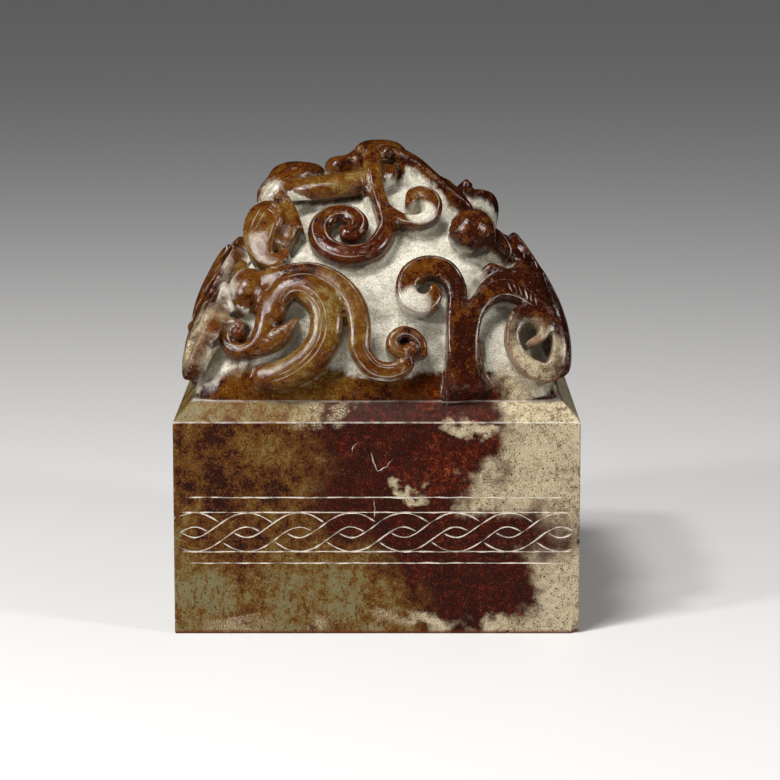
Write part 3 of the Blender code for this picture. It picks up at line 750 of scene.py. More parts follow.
def blade(path, sizes, width_share=1.0):
    """A three-sided blade along a path of points, sides and ups, that cuts a line with fine ends."""
    depth = sizes.line_depth * width_share
    half = sizes.line_width * width_share / 2.0
    count = len(path)
    rings = []
    for index, (point, side, up) in enumerate(path):
        press = 0.85 + 0.5 * noise.noise(point * 0.6)
        taper = min(1.0, 0.15 + 0.5 * min(index, count - 1 - index)) * press
        flare = half * taper * (BLADE_RISE + depth) / depth
        low = point - up * depth * taper
        high = point + up * BLADE_RISE
        rings.append([low, high + side * flare, high - side * flare])
    return tube(rings)


def laid_path(tree, places, place):
    """A path of (point, side, up) laid on the skin, from points on the front sheet and their place."""
    turn = place.to_3x3()
    hits = []
    for across, height, lift in places:
        up = (turn @ sheet_normal(across, height)).normalized()
        start = place @ (sheet_point(across, height) + sheet_normal(across, height) * lift)
        hit, _, _, _ = tree.ray_cast(start + up * SKIN_REACH, -up, 2.0 * SKIN_REACH)
        hits.append((start if hit is None else hit, up))
    path = []
    for index, (hit, up) in enumerate(hits):
        near = hits[max(index - 1, 0)][0]
        far = hits[min(index + 1, len(hits) - 1)][0]
        level = hit * 0.5 + (near + far) * 0.25
        side = (far - near).cross(up).normalized()
        path.append((level, side, (side.cross(far - near)).normalized()))
    return path


def strand_place(frame_there, offset):
    """A place on a strand's top, off its middle by a share of its half width."""
    centre, side, _, row = frame_there
    place = centre + side * offset * row[2] / 2.0
    return place.x, place.z, row[3]


def along_strand(rows, start, end, offsets):
    """Places on a strand's top from one share of its length to another, off its middle by shares."""
    frames = strand_frames(rows)
    first = round(start * (len(frames) - 1))
    last = round(end * (len(frames) - 1))
    places = []
    for index in range(first, last + 1):
        share = (index - first) / max(last - first, 1)
        offset = offsets[0] + (offsets[1] - offsets[0]) * share
        places.append(strand_place(frames[index], offset))
    return places


def across_strand(rows, share, offsets, slant):
    """A short stroke over a strand at a share of its length."""
    frames = strand_frames(rows)
    places = []
    for index in range(STROKE_POINTS):
        step = index / (STROKE_POINTS - 1)
        at = share + slant * (step - 0.5)
        nearest = min(max(round(at * (len(frames) - 1)), 0), len(frames) - 1)
        offset = offsets[0] + (offsets[1] - offsets[0]) * step
        places.append(strand_place(frames[nearest], offset))
    return places


def drawn_line(points, lift):
    """Places on a smooth line through drawn points of the front sheet."""
    return [(across, height, lift) for across, height in catmull_rom(points, 4)]


def head_lines():
    """The lines cut on a side dragon's head."""
    lines = [
        ((-22.0, 78.3), (-23.2, 76.2), (-24.4, 73.9)),
        ((-21.3, 77.5), (-22.4, 75.6), (-23.6, 73.6)),
        ((-21.1, 77.9), (-20.2, 77.4), (-19.4, 76.8)),
        ((-19.5, 75.9), (-20.0, 74.4), (-20.6, 73.0), (-21.2, 71.9)),
        ((-21.0, 78.9), (-19.9, 78.3), (-19.2, 77.6)),
    ]
    mane = [((-26.6 + 0.1 * step, 77.4 - 0.75 * step), (-25.2 + 0.1 * step, 77.9 - 0.75 * step))
            for step in range(6)]
    return [drawn_line(points, HEAD_LINE_LIFT) for points in lines + mane]


def dragon_lines():
    """Two sets of lines cut on each side dragon; lines of one set don't cross each other."""
    scroll_rows = left_scroll()
    first = [
        along_strand(CRESCENT, 0.06, 0.93, (0.66, -0.02)),
        along_strand(CRESCENT, 0.08, 0.95, (0.30, -0.30)),
        along_strand(BODY_BAND, 0.10, 0.52, (0.62, 0.55)),
        along_strand(BODY_BAND, 0.55, 0.92, (-0.62, -0.55)),
        along_strand(BODY_BAND, 0.62, 0.95, (0.60, 0.50)),
        along_strand(PAW, 0.05, 0.90, (0.5, 0.4)),
        along_strand(FORELEG, 0.40, 0.95, (0.55, 0.5)),
        along_strand(scroll_rows, 0.35, 0.93, (0.66, 0.6)),
        along_strand(RIGHT_SCROLL, 0.06, 0.34, (0.66, 0.66)),
    ]
    second = [
        along_strand(BODY_BAND, 0.12, 0.50, (-0.62, -0.6)),
        along_strand(BODY_BAND, 0.60, 0.90, (-0.34, -0.3)),
    ]
    for step in range(5):
        second.append(across_strand(HEEL, 0.34 + 0.09 * step, (-0.75, 0.1), 0.10))
    for step in range(6):
        second.append(across_strand(RIGHT_SCROLL, 0.265 + 0.014 * step, (-0.6, 0.5), 0.02))
    return first, second


def top_lines():
    """The lines cut on the top dragon's tail."""
    tail = top_tail()
    return [
        along_strand(tail, 0.10, 0.92, (0.58, 0.5)),
        along_strand(tail, 0.42, 0.90, (-0.56, -0.5)),
        along_strand(TOP_FORK, 0.15, 0.90, (0.55, 0.5)),
    ]


def cut_knob_lines(seal, sizes):
    """Cut the dragons' lines into the carved skin."""
    tree = tree_of(seal.data)
    still = Matrix.Identity(4)
    first, second = dragon_lines()
    sets = [[], [], []]
    for quarter in QUARTERS:
        place = turn_quarter(quarter)
        ways = (place, place, head_place(quarter))
        for lines, kept, at in zip((first, second, head_lines()), sets, ways):
            kept += [blade(laid_path(tree, places, at), sizes, KNOB_LINE_SHARE) for places in lines]
    for places in top_lines():
        sets[1].append(blade(laid_path(tree, places, still), sizes, KNOB_LINE_SHARE))
    for blades in sets:
        combined(seal, joined("blades", [(mesh, still) for mesh in blades]), "DIFFERENCE")


def wall_path(points):
    """A path on the block's front wall through (across, height) points, with a hand's wobble."""
    path = []
    for index, (across, height) in enumerate(points):
        wobble = noise.noise(Vector((across * 0.35, height * 0.35, 7.0))) * HAND_WOBBLE
        near = points[max(index - 1, 0)]
        far = points[min(index + 1, len(points) - 1)]
        tangent = Vector((far[0] - near[0], 0.0, far[1] - near[1])).normalized()
        outward = Vector((0.0, -1.0, 0.0))
        side = tangent.cross(outward)
        path.append((Vector((across, -BLOCK_HALF, height + wobble)), side, outward))
    return path


def braid_height(across, phase):
    """The middle of a band of the braid."""
    swing = math.cos(math.pi * (across - BRAID_FIRST_EYE) / BRAID_HALF_WAVE)
    return BRAID_MIDDLE + phase * BRAID_SWING * swing


def braid_slope(across, phase):
    """How steeply a band rises."""
    turn = math.pi / BRAID_HALF_WAVE
    return -phase * BRAID_SWING * turn * math.sin(turn * (across - BRAID_FIRST_EYE))


def braid_edge(across, phase, offset):
    """A point off a band's middle, square to the band."""
    slope = braid_slope(across, phase)
    length = math.hypot(1.0, slope)
    return (across - offset * slope / length, braid_height(across, phase) + offset / length)


def is_covered(point, phase):
    """Whether a point of one band lies under the other band where that one rises."""
    best = None
    for step in range(-COVER_STEPS, COVER_STEPS + 1):
        across = point[0] + step * COVER_STEP
        if braid_slope(across, -phase) <= 0.08:
            continue
        gap = math.hypot(across - point[0], braid_height(across, -phase) - point[1])
        best = gap if best is None else min(best, gap)
    return best is not None and best < BRAID_HALF_BAND - 0.05


def braid_runs(phase, offset):
    """The stretches of a band's edge that show: a rising band lies over a falling one."""
    runs = [[]]
    across = -BLOCK_HALF - 2.0
    while across <= BLOCK_HALF + 2.0:
        point = braid_edge(across, phase, offset)
        hidden = braid_slope(across, phase) < 0.0 and is_covered(point, phase)
        inside = abs(point[0]) < BLOCK_HALF - 0.9
        if hidden or not inside:
            runs.append([])
        else:
            runs[-1].append(point)
        across += BRAID_STEP
    return [run for run in runs if len(run) >= LEAST_RUN]


def border_line(height, end):
    """A border line that ends short of the corners."""
    reach = BLOCK_HALF - end
    return [(-reach + 2.0 * reach * index / LINE_POINTS, height) for index in range(LINE_POINTS + 1)]


def cut_cracks(seal, sizes):
    """Cut the stone's own fine cracks into the front wall."""
    blades = []
    for points in CRACKS:
        smooth = []
        for start, end in zip(points, points[1:]):
            count = max(round(math.dist(start, end) / CRACK_PITCH), 2)
            for index in range(count):
                share = index / count
                jitter = CRACK_JITTER * noise.noise(Vector((start[0] + share * 9.0, start[1], 3.0)))
                smooth.append((start[0] + (end[0] - start[0]) * share + jitter,
                               start[1] + (end[1] - start[1]) * share - jitter))
        blades.append((blade(wall_path(smooth), sizes, CRACK_SHARE), Matrix.Identity(4)))
    combined(seal, joined("blades", blades), "DIFFERENCE")


def cut_chips(seal):
    """Knock small chips out of the block's edges."""
    dice = random.Random(CHIP_SEED)
    meshes = []
    for x, y in ((1, -1), (1, 1), (-1, 1), (-1, -1)):
        for _ in range(CHIPS_AN_EDGE):
            meshes.append(chip((x * BLOCK_HALF, y * BLOCK_HALF, dice.uniform(1.5, BLOCK_WALL)), dice))
        along = dice.uniform(-0.85, 0.85) * BLOCK_HALF
        place = (along, y * BLOCK_HALF, 0.0) if x * y < 0 else (x * BLOCK_HALF, along, 0.0)
        meshes.append(chip(place, dice))
    meshes.append(chip((BLOCK_HALF - 0.2, -BLOCK_HALF + 0.2, 0.3), dice, CORNER_CHIP))
    combined(seal, joined("chips", meshes), "DIFFERENCE")


def chip(place, dice, size=None):
    """A rough pebble to cut a chip with."""
    size = size or dice.uniform(*CHIP_SIZES)
    shape = bmesh.new()
    bmesh.ops.create_icosphere(shape, subdivisions=2, radius=size)
    for vertex in shape.verts:
        vertex.co *= dice.uniform(0.86, 1.12)
        vertex.co.z *= 1.5
    return meshed("chip", shape), Matrix.Translation(place)


def cut_wall_lines(seal, sizes):
    """Cut the border lines and the braid into the four walls."""
    sets = [[border_line(height, end) for height, end in zip(BORDER_LINES, LINE_ENDS)]]
    for phase in (-1, 1):
        for offset in (-BRAID_HALF_BAND, BRAID_HALF_BAND):
            sets.append(braid_runs(phase, offset))
    for runs in sets:
        blades = [blade(wall_path(run), sizes) for run in runs]
        meshes = [(mesh, turn_quarter(quarter)) for mesh in blades for quarter in QUARTERS]
        combined(seal, joined("blades", meshes), "DIFFERENCE")


def cut_seal_face(seal):
    """Cut rows of plain strokes that spell nothing into the underside."""
    field = 2 * BLOCK_HALF - 2 * SEAL_RIM
    pitch = field / SEAL_STROKES
    meshes = []
    for column in range(SEAL_STROKES):
        for row in range(SEAL_STROKES):
            length = pitch * (0.72 if (column + row) % 2 else 0.5)
            shape = bmesh.new()
            bmesh.ops.create_cube(shape, size=1.0)
            bmesh.ops.scale(shape, verts=shape.verts, vec=(length, *STROKE_SIZE))
            round_edges(shape, STROKE_ROUND)
            middle = (-field / 2 + pitch * (column + 0.5), -field / 2 + pitch * (row + 0.5), 0.0)
            meshes.append((meshed("stroke", shape), Matrix.Translation(middle)))
    combined(seal, joined("strokes", meshes), "DIFFERENCE")


def drop_flakes(mesh):
    """Remove the flakes that cuts leave: two faces back to back, joined to nothing else."""
    shape = bmesh.new()
    shape.from_mesh(mesh)
    flakes = []
    for face in shape.faces:
        neighbours = {other for edge in face.edges for other in edge.link_faces}
        if len(neighbours) == 2:
            flakes.append(face)
    bmesh.ops.delete(shape, geom=flakes, context="FACES")
    shape.to_mesh(mesh)
    shape.free()


def tree_of(mesh):
    """A search tree of a mesh's faces."""
    shape = bmesh.new()
    shape.from_mesh(mesh)
    tree = BVHTree.FromBMesh(shape)
    shape.free()
    return tree


def edge_values(mesh):
    """How far each corner of a mesh stands out from its neighbours, as a share of its edges."""
    shape = bmesh.new()
    shape.from_mesh(mesh)
    shape.verts.ensure_lookup_table()
    values = []
    for vertex in shape.verts:
        others = [edge.other_vert(vertex).co for edge in vertex.link_edges]
        middle = sum(others, Vector()) / len(others)
        length = sum((other - vertex.co).length for other in others) / len(others)
        values.append((vertex.co - middle).dot(vertex.normal) / max(length, 1e-6))
    for _ in range(EDGE_PASSES):
        spread = []
        for vertex in shape.verts:
            around = sum(values[edge.other_vert(vertex).index] for edge in vertex.link_edges)
            spread.append(0.5 * values[vertex.index] + 0.5 * around / len(vertex.link_edges))
        values = spread
    shape.free()
    return values


def add_value(mesh, name, values, domain="POINT"):
    """Store a value at each corner or face."""
    layer = mesh.attributes.new(name, "FLOAT", domain)
    layer.data.foreach_set("value", values)


def finish_skin(seal, uncut, edges, crests):
    """Store what the jade's colours follow: depth under the crests, worn edges and cut lines."""
    before = tree_of(uncut)
    near = KDTree(len(uncut.vertices))
    for index, vertex in enumerate(uncut.vertices):
        near.insert(vertex.co, index)
    near.balance()
    high = KDTree(len(crests))
    for index, (point, _) in enumerate(crests):
        high.insert(point, index)
    high.balance()
    fall, edge, groove = [], [], []
    for face in seal.data.polygons:
        centre = face.center
        _, _, _, depth = before.find_nearest(centre)
        depth = min(depth, BLOCK_HALF - max(abs(centre.x), abs(centre.y)))
        groove.append(min(max(depth / GROOVE_FULL, 0.0), 1.0))
    for vertex in seal.data.vertices:
        point = vertex.co
        if point.z > KNOB_FOOT + 0.05:
            fall.append(min(gap - crests[index][1] for _, index, gap in high.find_n(point, CRESTS_NEAR)))
            _, index, _ = near.find(point)
            edge.append(edges[index])
        else:
            fall.append(0.0)
            edge.append(0.0)
    add_value(seal.data, "fall", fall)
    add_value(seal.data, "edge", edge)
    add_value(seal.data, "groove", groove, "FACE")


def colour(value):
    """A colour with full opacity; another node's output stays as it is."""
    return value if isinstance(value, bpy.types.NodeSocket) else (*value, 1.0)


class Nodes:
    """A node tree, with short names for the sums and patterns that colours need."""

    def __init__(self, tree):
        self.tree = tree

    def feed(self, item, key, value):
        """Give a node's input a plain value or another node's output."""
        if isinstance(value, bpy.types.NodeSocket):
            self.tree.links.new(value, item.inputs[key])
        else:
            item.inputs[key].default_value = value

    def add(self, kind, inputs=None, **settings):
        """Add a node with its settings and inputs."""
        item = self.tree.nodes.new(kind)
        for key, value in settings.items():
            setattr(item, key, value)
        for key, value in (inputs or {}).items():
            self.feed(item, key, value)
        return item

    def maths(self, operation, first, second=0.0, third=0.0, clamp=False):
        """One sum of two or three values."""
        return self.add("ShaderNodeMath", {0: first, 1: second, 2: third}, operation=operation,
                        use_clamp=clamp).outputs[0]

    def times(self, first, second):
        """One value times another."""
        return self.maths("MULTIPLY", first, second)

    def less(self, first, second, clamp=False):
        """One value less another."""
        return self.maths("SUBTRACT", first, second, clamp=clamp)

    def raised(self, value, share, amount):
        """A value with an amount added by a share."""
        return self.maths("MULTIPLY_ADD", share, amount, value)

    def most(self, *values):
        """The largest of several values."""
        result = values[0]
        for value in values[1:]:
            result = self.maths("MAXIMUM", result, value)
        return result

    def ramp(self, value, low, high, floor=0.0, roof=1.0):
        """A value that goes smoothly from floor to roof between two limits."""
        inputs = {"Value": value, "From Min": low, "From Max": high, "To Min": floor, "To Max": roof}
        return self.add("ShaderNodeMapRange", inputs, interpolation_type="SMOOTHSTEP").outputs["Result"]

    def vectors(self, operation, first, second):
        """One sum of two vectors."""
        return self.add("ShaderNodeVectorMath", {0: first, 1: second}, operation=operation).outputs[0]

    def scaled(self, vector, factor):
        """A vector times a value."""
        inputs = {0: vector, "Scale": factor}
        return self.add("ShaderNodeVectorMath", inputs, operation="SCALE").outputs[0]

    def grain(self, place, scale, detail, rough, distort=0.0, result="Fac"):
        """Noise at a scale per millimetre."""
        inputs = {"Vector": place, "Scale": scale, "Detail": detail, "Roughness": rough,
                  "Distortion": distort}
        return self.add("ShaderNodeTexNoise", inputs).outputs[result]

    def dots(self, place, scale, size):
        """Crisp round specks at a number per millimetre, of a share of their spacing."""
        item = self.add("ShaderNodeTexVoronoi", {"Vector": place, "Scale": scale, "Randomness": 1.0})
        return self.ramp(item.outputs["Distance"], size, size * 0.5)

    def spots(self, place, table, soft=0.5):
        """Soft spots of the stone: 1 in their middles and 0 outside their radii."""
        shares = []
        for centre, radii in table:
            apart = self.vectors("DIVIDE", self.vectors("SUBTRACT", place, centre), radii)
            length = self.add("ShaderNodeVectorMath", {0: apart}, operation="LENGTH").outputs["Value"]
            shares.append(self.ramp(length, 1.0 + soft, 1.0 - soft))
        return self.most(*shares)

    def blend(self, share, under, over):
        """One colour laid over another by a share."""
        inputs = {"Factor": share, 6: colour(under), 7: colour(over)}
        return self.add("ShaderNodeMix", inputs, data_type="RGBA").outputs[2]


class Jade(Nodes):
    """Weathered jade: brown and red where the stone's skin is left, pale where it is cut deep."""

    def __init__(self, tree, colours, finish):
        super().__init__(tree)
        self.colours = colours
        self.finish = finish
        self.place = self.scaled(self.add("ShaderNodeTexCoord").outputs["Object"], 1.0 / MILLIMETRE)
        self.fall = self.stored("fall")
        self.edge = self.stored("edge")
        self.groove = self.stored("groove")

        # The stone's zones have ragged borders, so their places are shifted by noise
        shift = self.grain(self.place, 0.13, 6.0, 0.62, result="Color")
        shift = self.scaled(self.vectors("SUBTRACT", shift, (0.5, 0.5, 0.5)), ZONE_SHIFT)
        self.ragged = self.vectors("ADD", self.place, shift)
        axes = self.add("ShaderNodeSeparateXYZ", {0: self.ragged}).outputs
        self.east, self.height = axes["X"], axes["Z"]
        self.level = self.add("ShaderNodeSeparateXYZ", {0: self.place}).outputs["Z"]

        self.mottle = self.grain(self.place, 0.45, 4.0, 0.6, distort=0.4)
        self.speck = self.grain(self.place, 3.4, 2.0, 0.6)
        self.grit = self.grain(self.place, 5.5, 2.0, 0.7)
        self.chamfer = self.ramp(self.level, BLOCK_WALL - 0.1, BLOCK_WALL + 0.3)
        self.on_knob = self.ramp(self.level, KNOB_FOOT - 0.3, KNOB_FOOT + 0.1)
        self.orange_specks = self.times(self.ramp(self.speck, 0.64, 0.72), 0.7)
        self.red = self.red_colour()
        self.pale = self.pale_colour()

    def stored(self, name):
        """A value stored in the mesh."""
        return self.add("ShaderNodeAttribute", attribute_name=name).outputs["Fac"]

    def fractal(self, scales, weights, shift):
        """Three noises, from broad clouds to grains, added up by their weights."""
        total = shift
        for scale, weight in zip(scales, weights):
            total = self.raised(total, self.grain(self.place, scale, 5.0, 0.68), weight)
        return total

    def layers(self, value, stops):
        """Colours laid out along a value."""
        item = self.add("ShaderNodeValToRGB", {"Fac": value})
        elements = item.color_ramp.elements
        while len(elements) < len(stops):
            elements.new(0.5)
        for element, (position, name) in zip(elements, stops):
            element.position = position
            element.color = colour(getattr(self.colours, name))
        return item.outputs["Color"]

    def red_colour(self):
        """Deep red with glowing specks."""
        value = self.fractal((0.2, 0.9, 3.0), (0.4, 0.6, 0.6), -0.335)
        value = self.raised(value, self.spots(self.ragged, GLOW_SPOTS, 0.6), 0.06)
        return self.layers(value, RED_LAYERS)

    def pale_colour(self):
        """Pale stone with dark specks and stains in it."""
        value = self.fractal((0.16, 0.8, 3.2), (0.4, 0.6, 0.6), -0.30)
        flecks = self.ramp(self.grain(self.place, 1.3, 3.0, 0.6), 0.62, 0.70)
        return self.blend(self.times(flecks, 0.65), self.layers(value, PALE_LAYERS), self.colours.stain)

    def skin_colour(self):
        """Dark brown through olive to grey green, greener low down on the left, and lighter on the
        upward-facing chamfer as painted light from above.
        """
        low_left = self.times(self.ramp(self.height, 22.0, 8.0), self.ramp(self.east, 14.0, -4.0))
        value = self.fractal((0.11, 0.5, 2.4), (0.6, 0.55, 0.5), -0.395)
        value = self.raised(value, low_left, 0.13)
        # The chamfer faces up and is painted lighter here: painted light from above
        value = self.raised(value, self.chamfer, 0.14)
        streak = self.grain(self.vectors("MULTIPLY", self.place, (1.0, 1.0, 0.34)), 0.9, 4.0, 0.7)
        share = self.times(self.ramp(streak, 0.53, 0.64), self.raised(0.3, low_left, 0.55))
        return self.blend(share, self.layers(value, SKIN_LAYERS), self.colours.rust)

    def block_colour(self):
        """The block: skin on the left, red from its middle on, and pale stone on the right."""
        red_start = self.ramp(self.height, 4.0, 27.0, 12.0, -11.0)
        red_share = self.ramp(self.less(self.east, red_start), -6.0, 4.0)
        skin = self.blend(red_share, self.skin_colour(), self.red)
        skin = self.blend(self.orange_specks, skin, self.colours.orange)
        right_edge = self.ramp(self.east, 22.5, 27.5)
        pale_share = self.less(right_edge, self.spots(self.ragged, DARK_SPOTS), clamp=True)
        pale_share = self.most(pale_share, self.spots(self.ragged, PALE_SPOTS))
        crust = self.times(self.spots(self.ragged, CRUST_SPOTS), self.ramp(self.speck, 0.42, 0.6, 0.1, 0.8))
        stone = self.blend(self.most(pale_share, crust), skin, self.pale)
        for place, scale, size, share, tint in (
                (self.place, 0.9, 0.22, 0.8, self.colours.dark),
                (self.ragged, 0.7, 0.18, 0.6, self.colours.orange),
                (self.ragged, 1.6, 0.15, 0.5, self.colours.pale)):
            stone = self.blend(self.times(self.dots(place, scale, size), share), stone, tint)
        foot_line = self.times(self.ramp(self.level, 0.9, 0.2), 0.8)
        return self.blend(foot_line, stone, self.colours.ember)

    def ground_colour(self):
        """The knob's pale ground, with darker patches in places."""
        value = self.fractal((0.14, 0.6, 3.0), (0.5, 0.35, 0.35), -0.1)
        # The ground is darkened towards the stain colour at these spots
        darker_ground = self.times(self.spots(self.ragged, DARK_GROUND_SPOTS), 0.45)
        return self.blend(darker_ground, self.layers(value, GROUND_LAYERS), self.colours.stain)

    def crest_colour(self):
        """The tops of the carving: olive on the left, darker on the right, red low down."""
        value = self.fractal((0.10, 0.5, 2.6), (0.55, 0.5, 0.45), -0.325)
        value = self.raised(value, self.spots(self.ragged, OLIVE_SPOTS), 0.075)
        value = self.raised(value, self.ramp(self.east, 12.0, 19.0), -0.10)
        foot_red = self.times(self.ramp(self.height, 55.0, 49.0), self.ramp(self.east, 2.0, 9.0))
        warm = self.times(self.most(self.spots(self.ragged, WARM_SPOTS), foot_red), 0.8)
        crest = self.blend(warm, self.layers(value, CREST_LAYERS), self.red)
        return self.blend(self.orange_specks, crest, self.colours.orange)

    def rim_share(self):
        """How far the carving's worn edges, and its disc's rim, show the red under the skin."""
        share = self.times(self.ramp(self.edge, 0.05, 0.15), self.ramp(self.fall, 1.2, 0.2))
        share = self.times(share, self.ramp(self.level, 91.0, 87.0))
        share = self.times(share, self.ramp(self.mottle, 0.42, 0.62, 0.1, 0.6))
        rim = self.ramp(self.edge, 0.04, 0.10, 0.0, 0.55)
        return self.most(share, self.times(self.spots(self.place, DISC_SPOTS, 0.15), rim))

    def knob_colour(self):
        """The knob, whose colour follows the carving: its ground is pale, and the tops keep the skin."""
        sunk = self.raised(self.fall, self.less(self.mottle, 0.5), 2.6)
        sunk = self.maths("ADD", sunk, self.ramp(self.level, 82.0, 87.0, 0.0, 0.8))
        sunk = self.raised(sunk, self.spots(self.place, BEAM_SPOTS, 0.15), -3.0)
        sunk = self.raised(sunk, self.spots(self.place, FOOT_SPOTS), 1.6)
        ground = self.ground_colour()
        knob = self.blend(self.ramp(sunk, 1.1, 2.3), self.crest_colour(), ground)
        # Worn spots show the pale ground; on the two scroll insides the same pale is partly a painted
        # highlight
        bare_and_highlit = self.most(self.spots(self.ragged, WORN_SPOTS), self.spots(self.place, SCROLL_PALE_HIGHLIGHT_SPOTS, 0.2))
        knob = self.blend(self.times(bare_and_highlit, 0.85), knob, ground)
        knob = self.blend(self.times(self.spots(self.ragged, BARE_SPOTS), 0.85), knob, self.pale)
        return self.blend(self.rim_share(), knob, self.colours.ember)

    def dusty_and_highlit(self, base):
        """A colour with fine grit all over, pale dust in the cut lines that is partly a painted highlight,
        and painted highlight lines along the chamfer's lower edge and the knob's foot.
        """
        base = self.scaled(base, self.ramp(self.grit, 0.3, 0.7, 0.5, 1.5))
        # The cut lines hold pale dust, and the same pale also paints the highlight along them
        dust_and_highlight = self.times(self.groove, self.ramp(self.mottle, 0.3, 0.55, 0.4, 0.95))
        dust_and_highlight = self.times(dust_and_highlight, self.ramp(self.on_knob, 0.0, 1.0, 1.0, 0.5))
        # Thin pale lines along the chamfer's lower edge and the knob's foot are a painted highlight
        for level, share in ((BLOCK_WALL, 0.42), (KNOB_FOOT, 0.22)):
            off_edge = self.maths("ABSOLUTE", self.less(self.level, level))
            patchy = self.ramp(self.mottle, 0.35, 0.6, 0.1, share)
            dust_and_highlight = self.most(dust_and_highlight, self.times(self.ramp(off_edge, 0.22, 0.08), patchy))
        return self.blend(dust_and_highlight, base, self.colours.dust_and_highlight)

    def roughness(self):
        """Polished tops, a duller ground, and a block between the two."""
        dull = self.ramp(self.fall, 0.5, 2.0, 0.0, 0.40)
        block_dull = self.ramp(self.on_knob, 0.0, 1.0, 0.12, 0.0)
        block_dull = self.raised(block_dull, self.less(self.chamfer, self.on_knob, clamp=True), 0.1)
        polish = self.finish.roughness
        rough = self.ramp(self.mottle, 0.3, 0.7, polish, polish + 0.08)
        rough = self.maths("ADD", rough, self.maths("ADD", dull, block_dull))
        return self.raised(rough, self.groove, 0.3)

    def unevenness(self):
        """The normal of the fine unevenness: pits, waves and grit."""
        pits = self.times(self.ramp(self.speck, 0.68, 0.76), -1.0)
        waves = self.raised(self.raised(pits, self.mottle, 1.5), self.grit, 0.9)
        inputs = {"Height": waves, "Strength": self.finish.bump, "Distance": BUMP_HEIGHT}
        return self.add("ShaderNodeBump", inputs).outputs["Normal"]


def jade_material(colours, finish):
    """The stone's material."""
    material = bpy.data.materials.new("Jade")
    material.use_nodes = True
    jade = Jade(material.node_tree, colours, finish)
    base = jade.blend(jade.on_knob, jade.block_colour(), jade.knob_colour())
    surface = material.node_tree.nodes["Principled BSDF"]
    jade.feed(surface, "Base Color", jade.dusty_and_highlit(base))
    jade.feed(surface, "Roughness", jade.roughness())
    jade.feed(surface, "Normal", jade.unevenness())
    surface.inputs["IOR"].default_value = 1.5
    surface.inputs["Subsurface Weight"].default_value = finish.glow
    surface.inputs["Subsurface Radius"].default_value = GLOW_RADIUS
    surface.inputs["Subsurface Scale"].default_value = GLOW_DEPTH
    return material


def length_setting(name, default, least, description):
    """A length in millimetres."""
    return FloatProperty(name=name, default=default, min=least, description=description)


def colour_setting(name, default, description):
    """A colour."""
    return FloatVectorProperty(name=name, subtype="COLOR", size=3, default=default,
                               description=description)


def share_setting(name, default, description):
    """A share from 0 to 1."""
    return FloatProperty(name=name, subtype="FACTOR", default=default, min=0.0, max=1.0,
                         description=description)


def power_setting(name, default, description):
    """A lamp's power."""
    return FloatProperty(name=name, default=default, min=0.0, unit="POWER", description=description)


class SealSizes(bpy.types.PropertyGroup):
    """How finely the seal is carved, in millimetres."""
    skin_grain: length_setting("Skin grain", 0.27, 0.1,
                               "Mesh size of the carved skin before it is thinned, in mm")
    wear_passes: IntProperty(name="Wear", default=2, min=0,
                             description="How often the carved edges are rubbed down")
    knob_triangles: IntProperty(name="Knob triangles", default=118000, min=1000,
                                description="Triangles left on the knob")
    line_width: length_setting("Line width", 0.27, 0.05, "Width of a cut line, in mm")
    line_depth: length_setting("Line depth", 0.20, 0.02, "Depth of a cut line, in mm")
    edge_round: length_setting("Edge rounding", 0.3, 0.01,
                               "How far the block's edges are worn, in mm")


class JadeColours(bpy.types.PropertyGroup):
    """The stone's colours."""
    olive: colour_setting("Olive", (0.125, 0.064, 0.009), "The translucent skin")
    brown: colour_setting("Brown", (0.080, 0.030, 0.004), "The darker skin")
    green: colour_setting("Grey green", (0.150, 0.125, 0.058), "The jade under the skin")
    rust: colour_setting("Rust", (0.082, 0.023, 0.003), "Streaks and warm parts")
    dark: colour_setting("Dark", (0.020, 0.004, 0.002), "The darkest parts")
    red: colour_setting("Deep red", (0.042, 0.003, 0.001), "The deep red zone")
    ember: colour_setting("Ember", (0.110, 0.014, 0.002), "Red where light comes through")
    orange: colour_setting("Orange", (0.250, 0.075, 0.012), "Specks in the skin")
    pale: colour_setting("Pale", (0.300, 0.235, 0.135), "The pale stone")
    bone: colour_setting("Bone", (0.430, 0.360, 0.235), "The palest stone")
    ash: colour_setting("Ash", (0.360, 0.325, 0.250), "The knob's ground where it is darker")
    chalk: colour_setting("Chalk", (0.540, 0.510, 0.420), "The knob's ground where it is palest")
    stain: colour_setting("Stain", (0.100, 0.070, 0.045), "Dark specks and stains in the pale stone")
    # This pale is the dust in the cut lines, and also a painted highlight on them and along the chamfer's
    # edges
    dust_and_highlight: colour_setting("Dust", (0.740, 0.680, 0.590), "What the cut lines hold")


class JadeFinish(bpy.types.PropertyGroup):
    """The stone's polish."""
    roughness: share_setting("Roughness", 0.09, "Roughness where the polish is best")
    glow: share_setting("Glow", 0.10, "How much light the stone lets in")
    bump: share_setting("Unevenness", 0.6, "Strength of the fine unevenness")


class StageSettings(bpy.types.PropertyGroup):
    """The floor, the lights and the camera."""
    floor_colour: colour_setting("Floor", (0.62, 0.61, 0.60), "Colour of the floor")
    floor_mirrored: colour_setting("Floor in the polish", (0.02, 0.02, 0.02),
                                   "The floor as the stone mirrors it")
    sky: share_setting("Sky", 0.22, "How much light the surroundings give")
    backdrop: share_setting("Backdrop", 0.62, "How bright the surroundings look to the camera")
    key_power: power_setting("Key light", 2.6, "Power of the light on the left")
    side_power: power_setting("Side light", 1.7, "Power of the light on the right")
    front_power: power_setting("Front light", 4.6,
                               "Power of the light high in front, that the polish doesn't mirror")
    spark_power: power_setting("Spark light", 2.2,
                               "Power of the small light that makes the polish shine")
    distance: FloatProperty(name="Distance", default=0.602, min=0.1, unit="LENGTH",
                            description="From the camera to the block's front")
    elevation: FloatProperty(name="Elevation", default=math.radians(9.5), unit="ROTATION",
                             description="How far the camera looks down")
    lens: FloatProperty(name="Lens", default=142.15, min=10.0, unit="CAMERA",
                        description="Focal length of the camera")


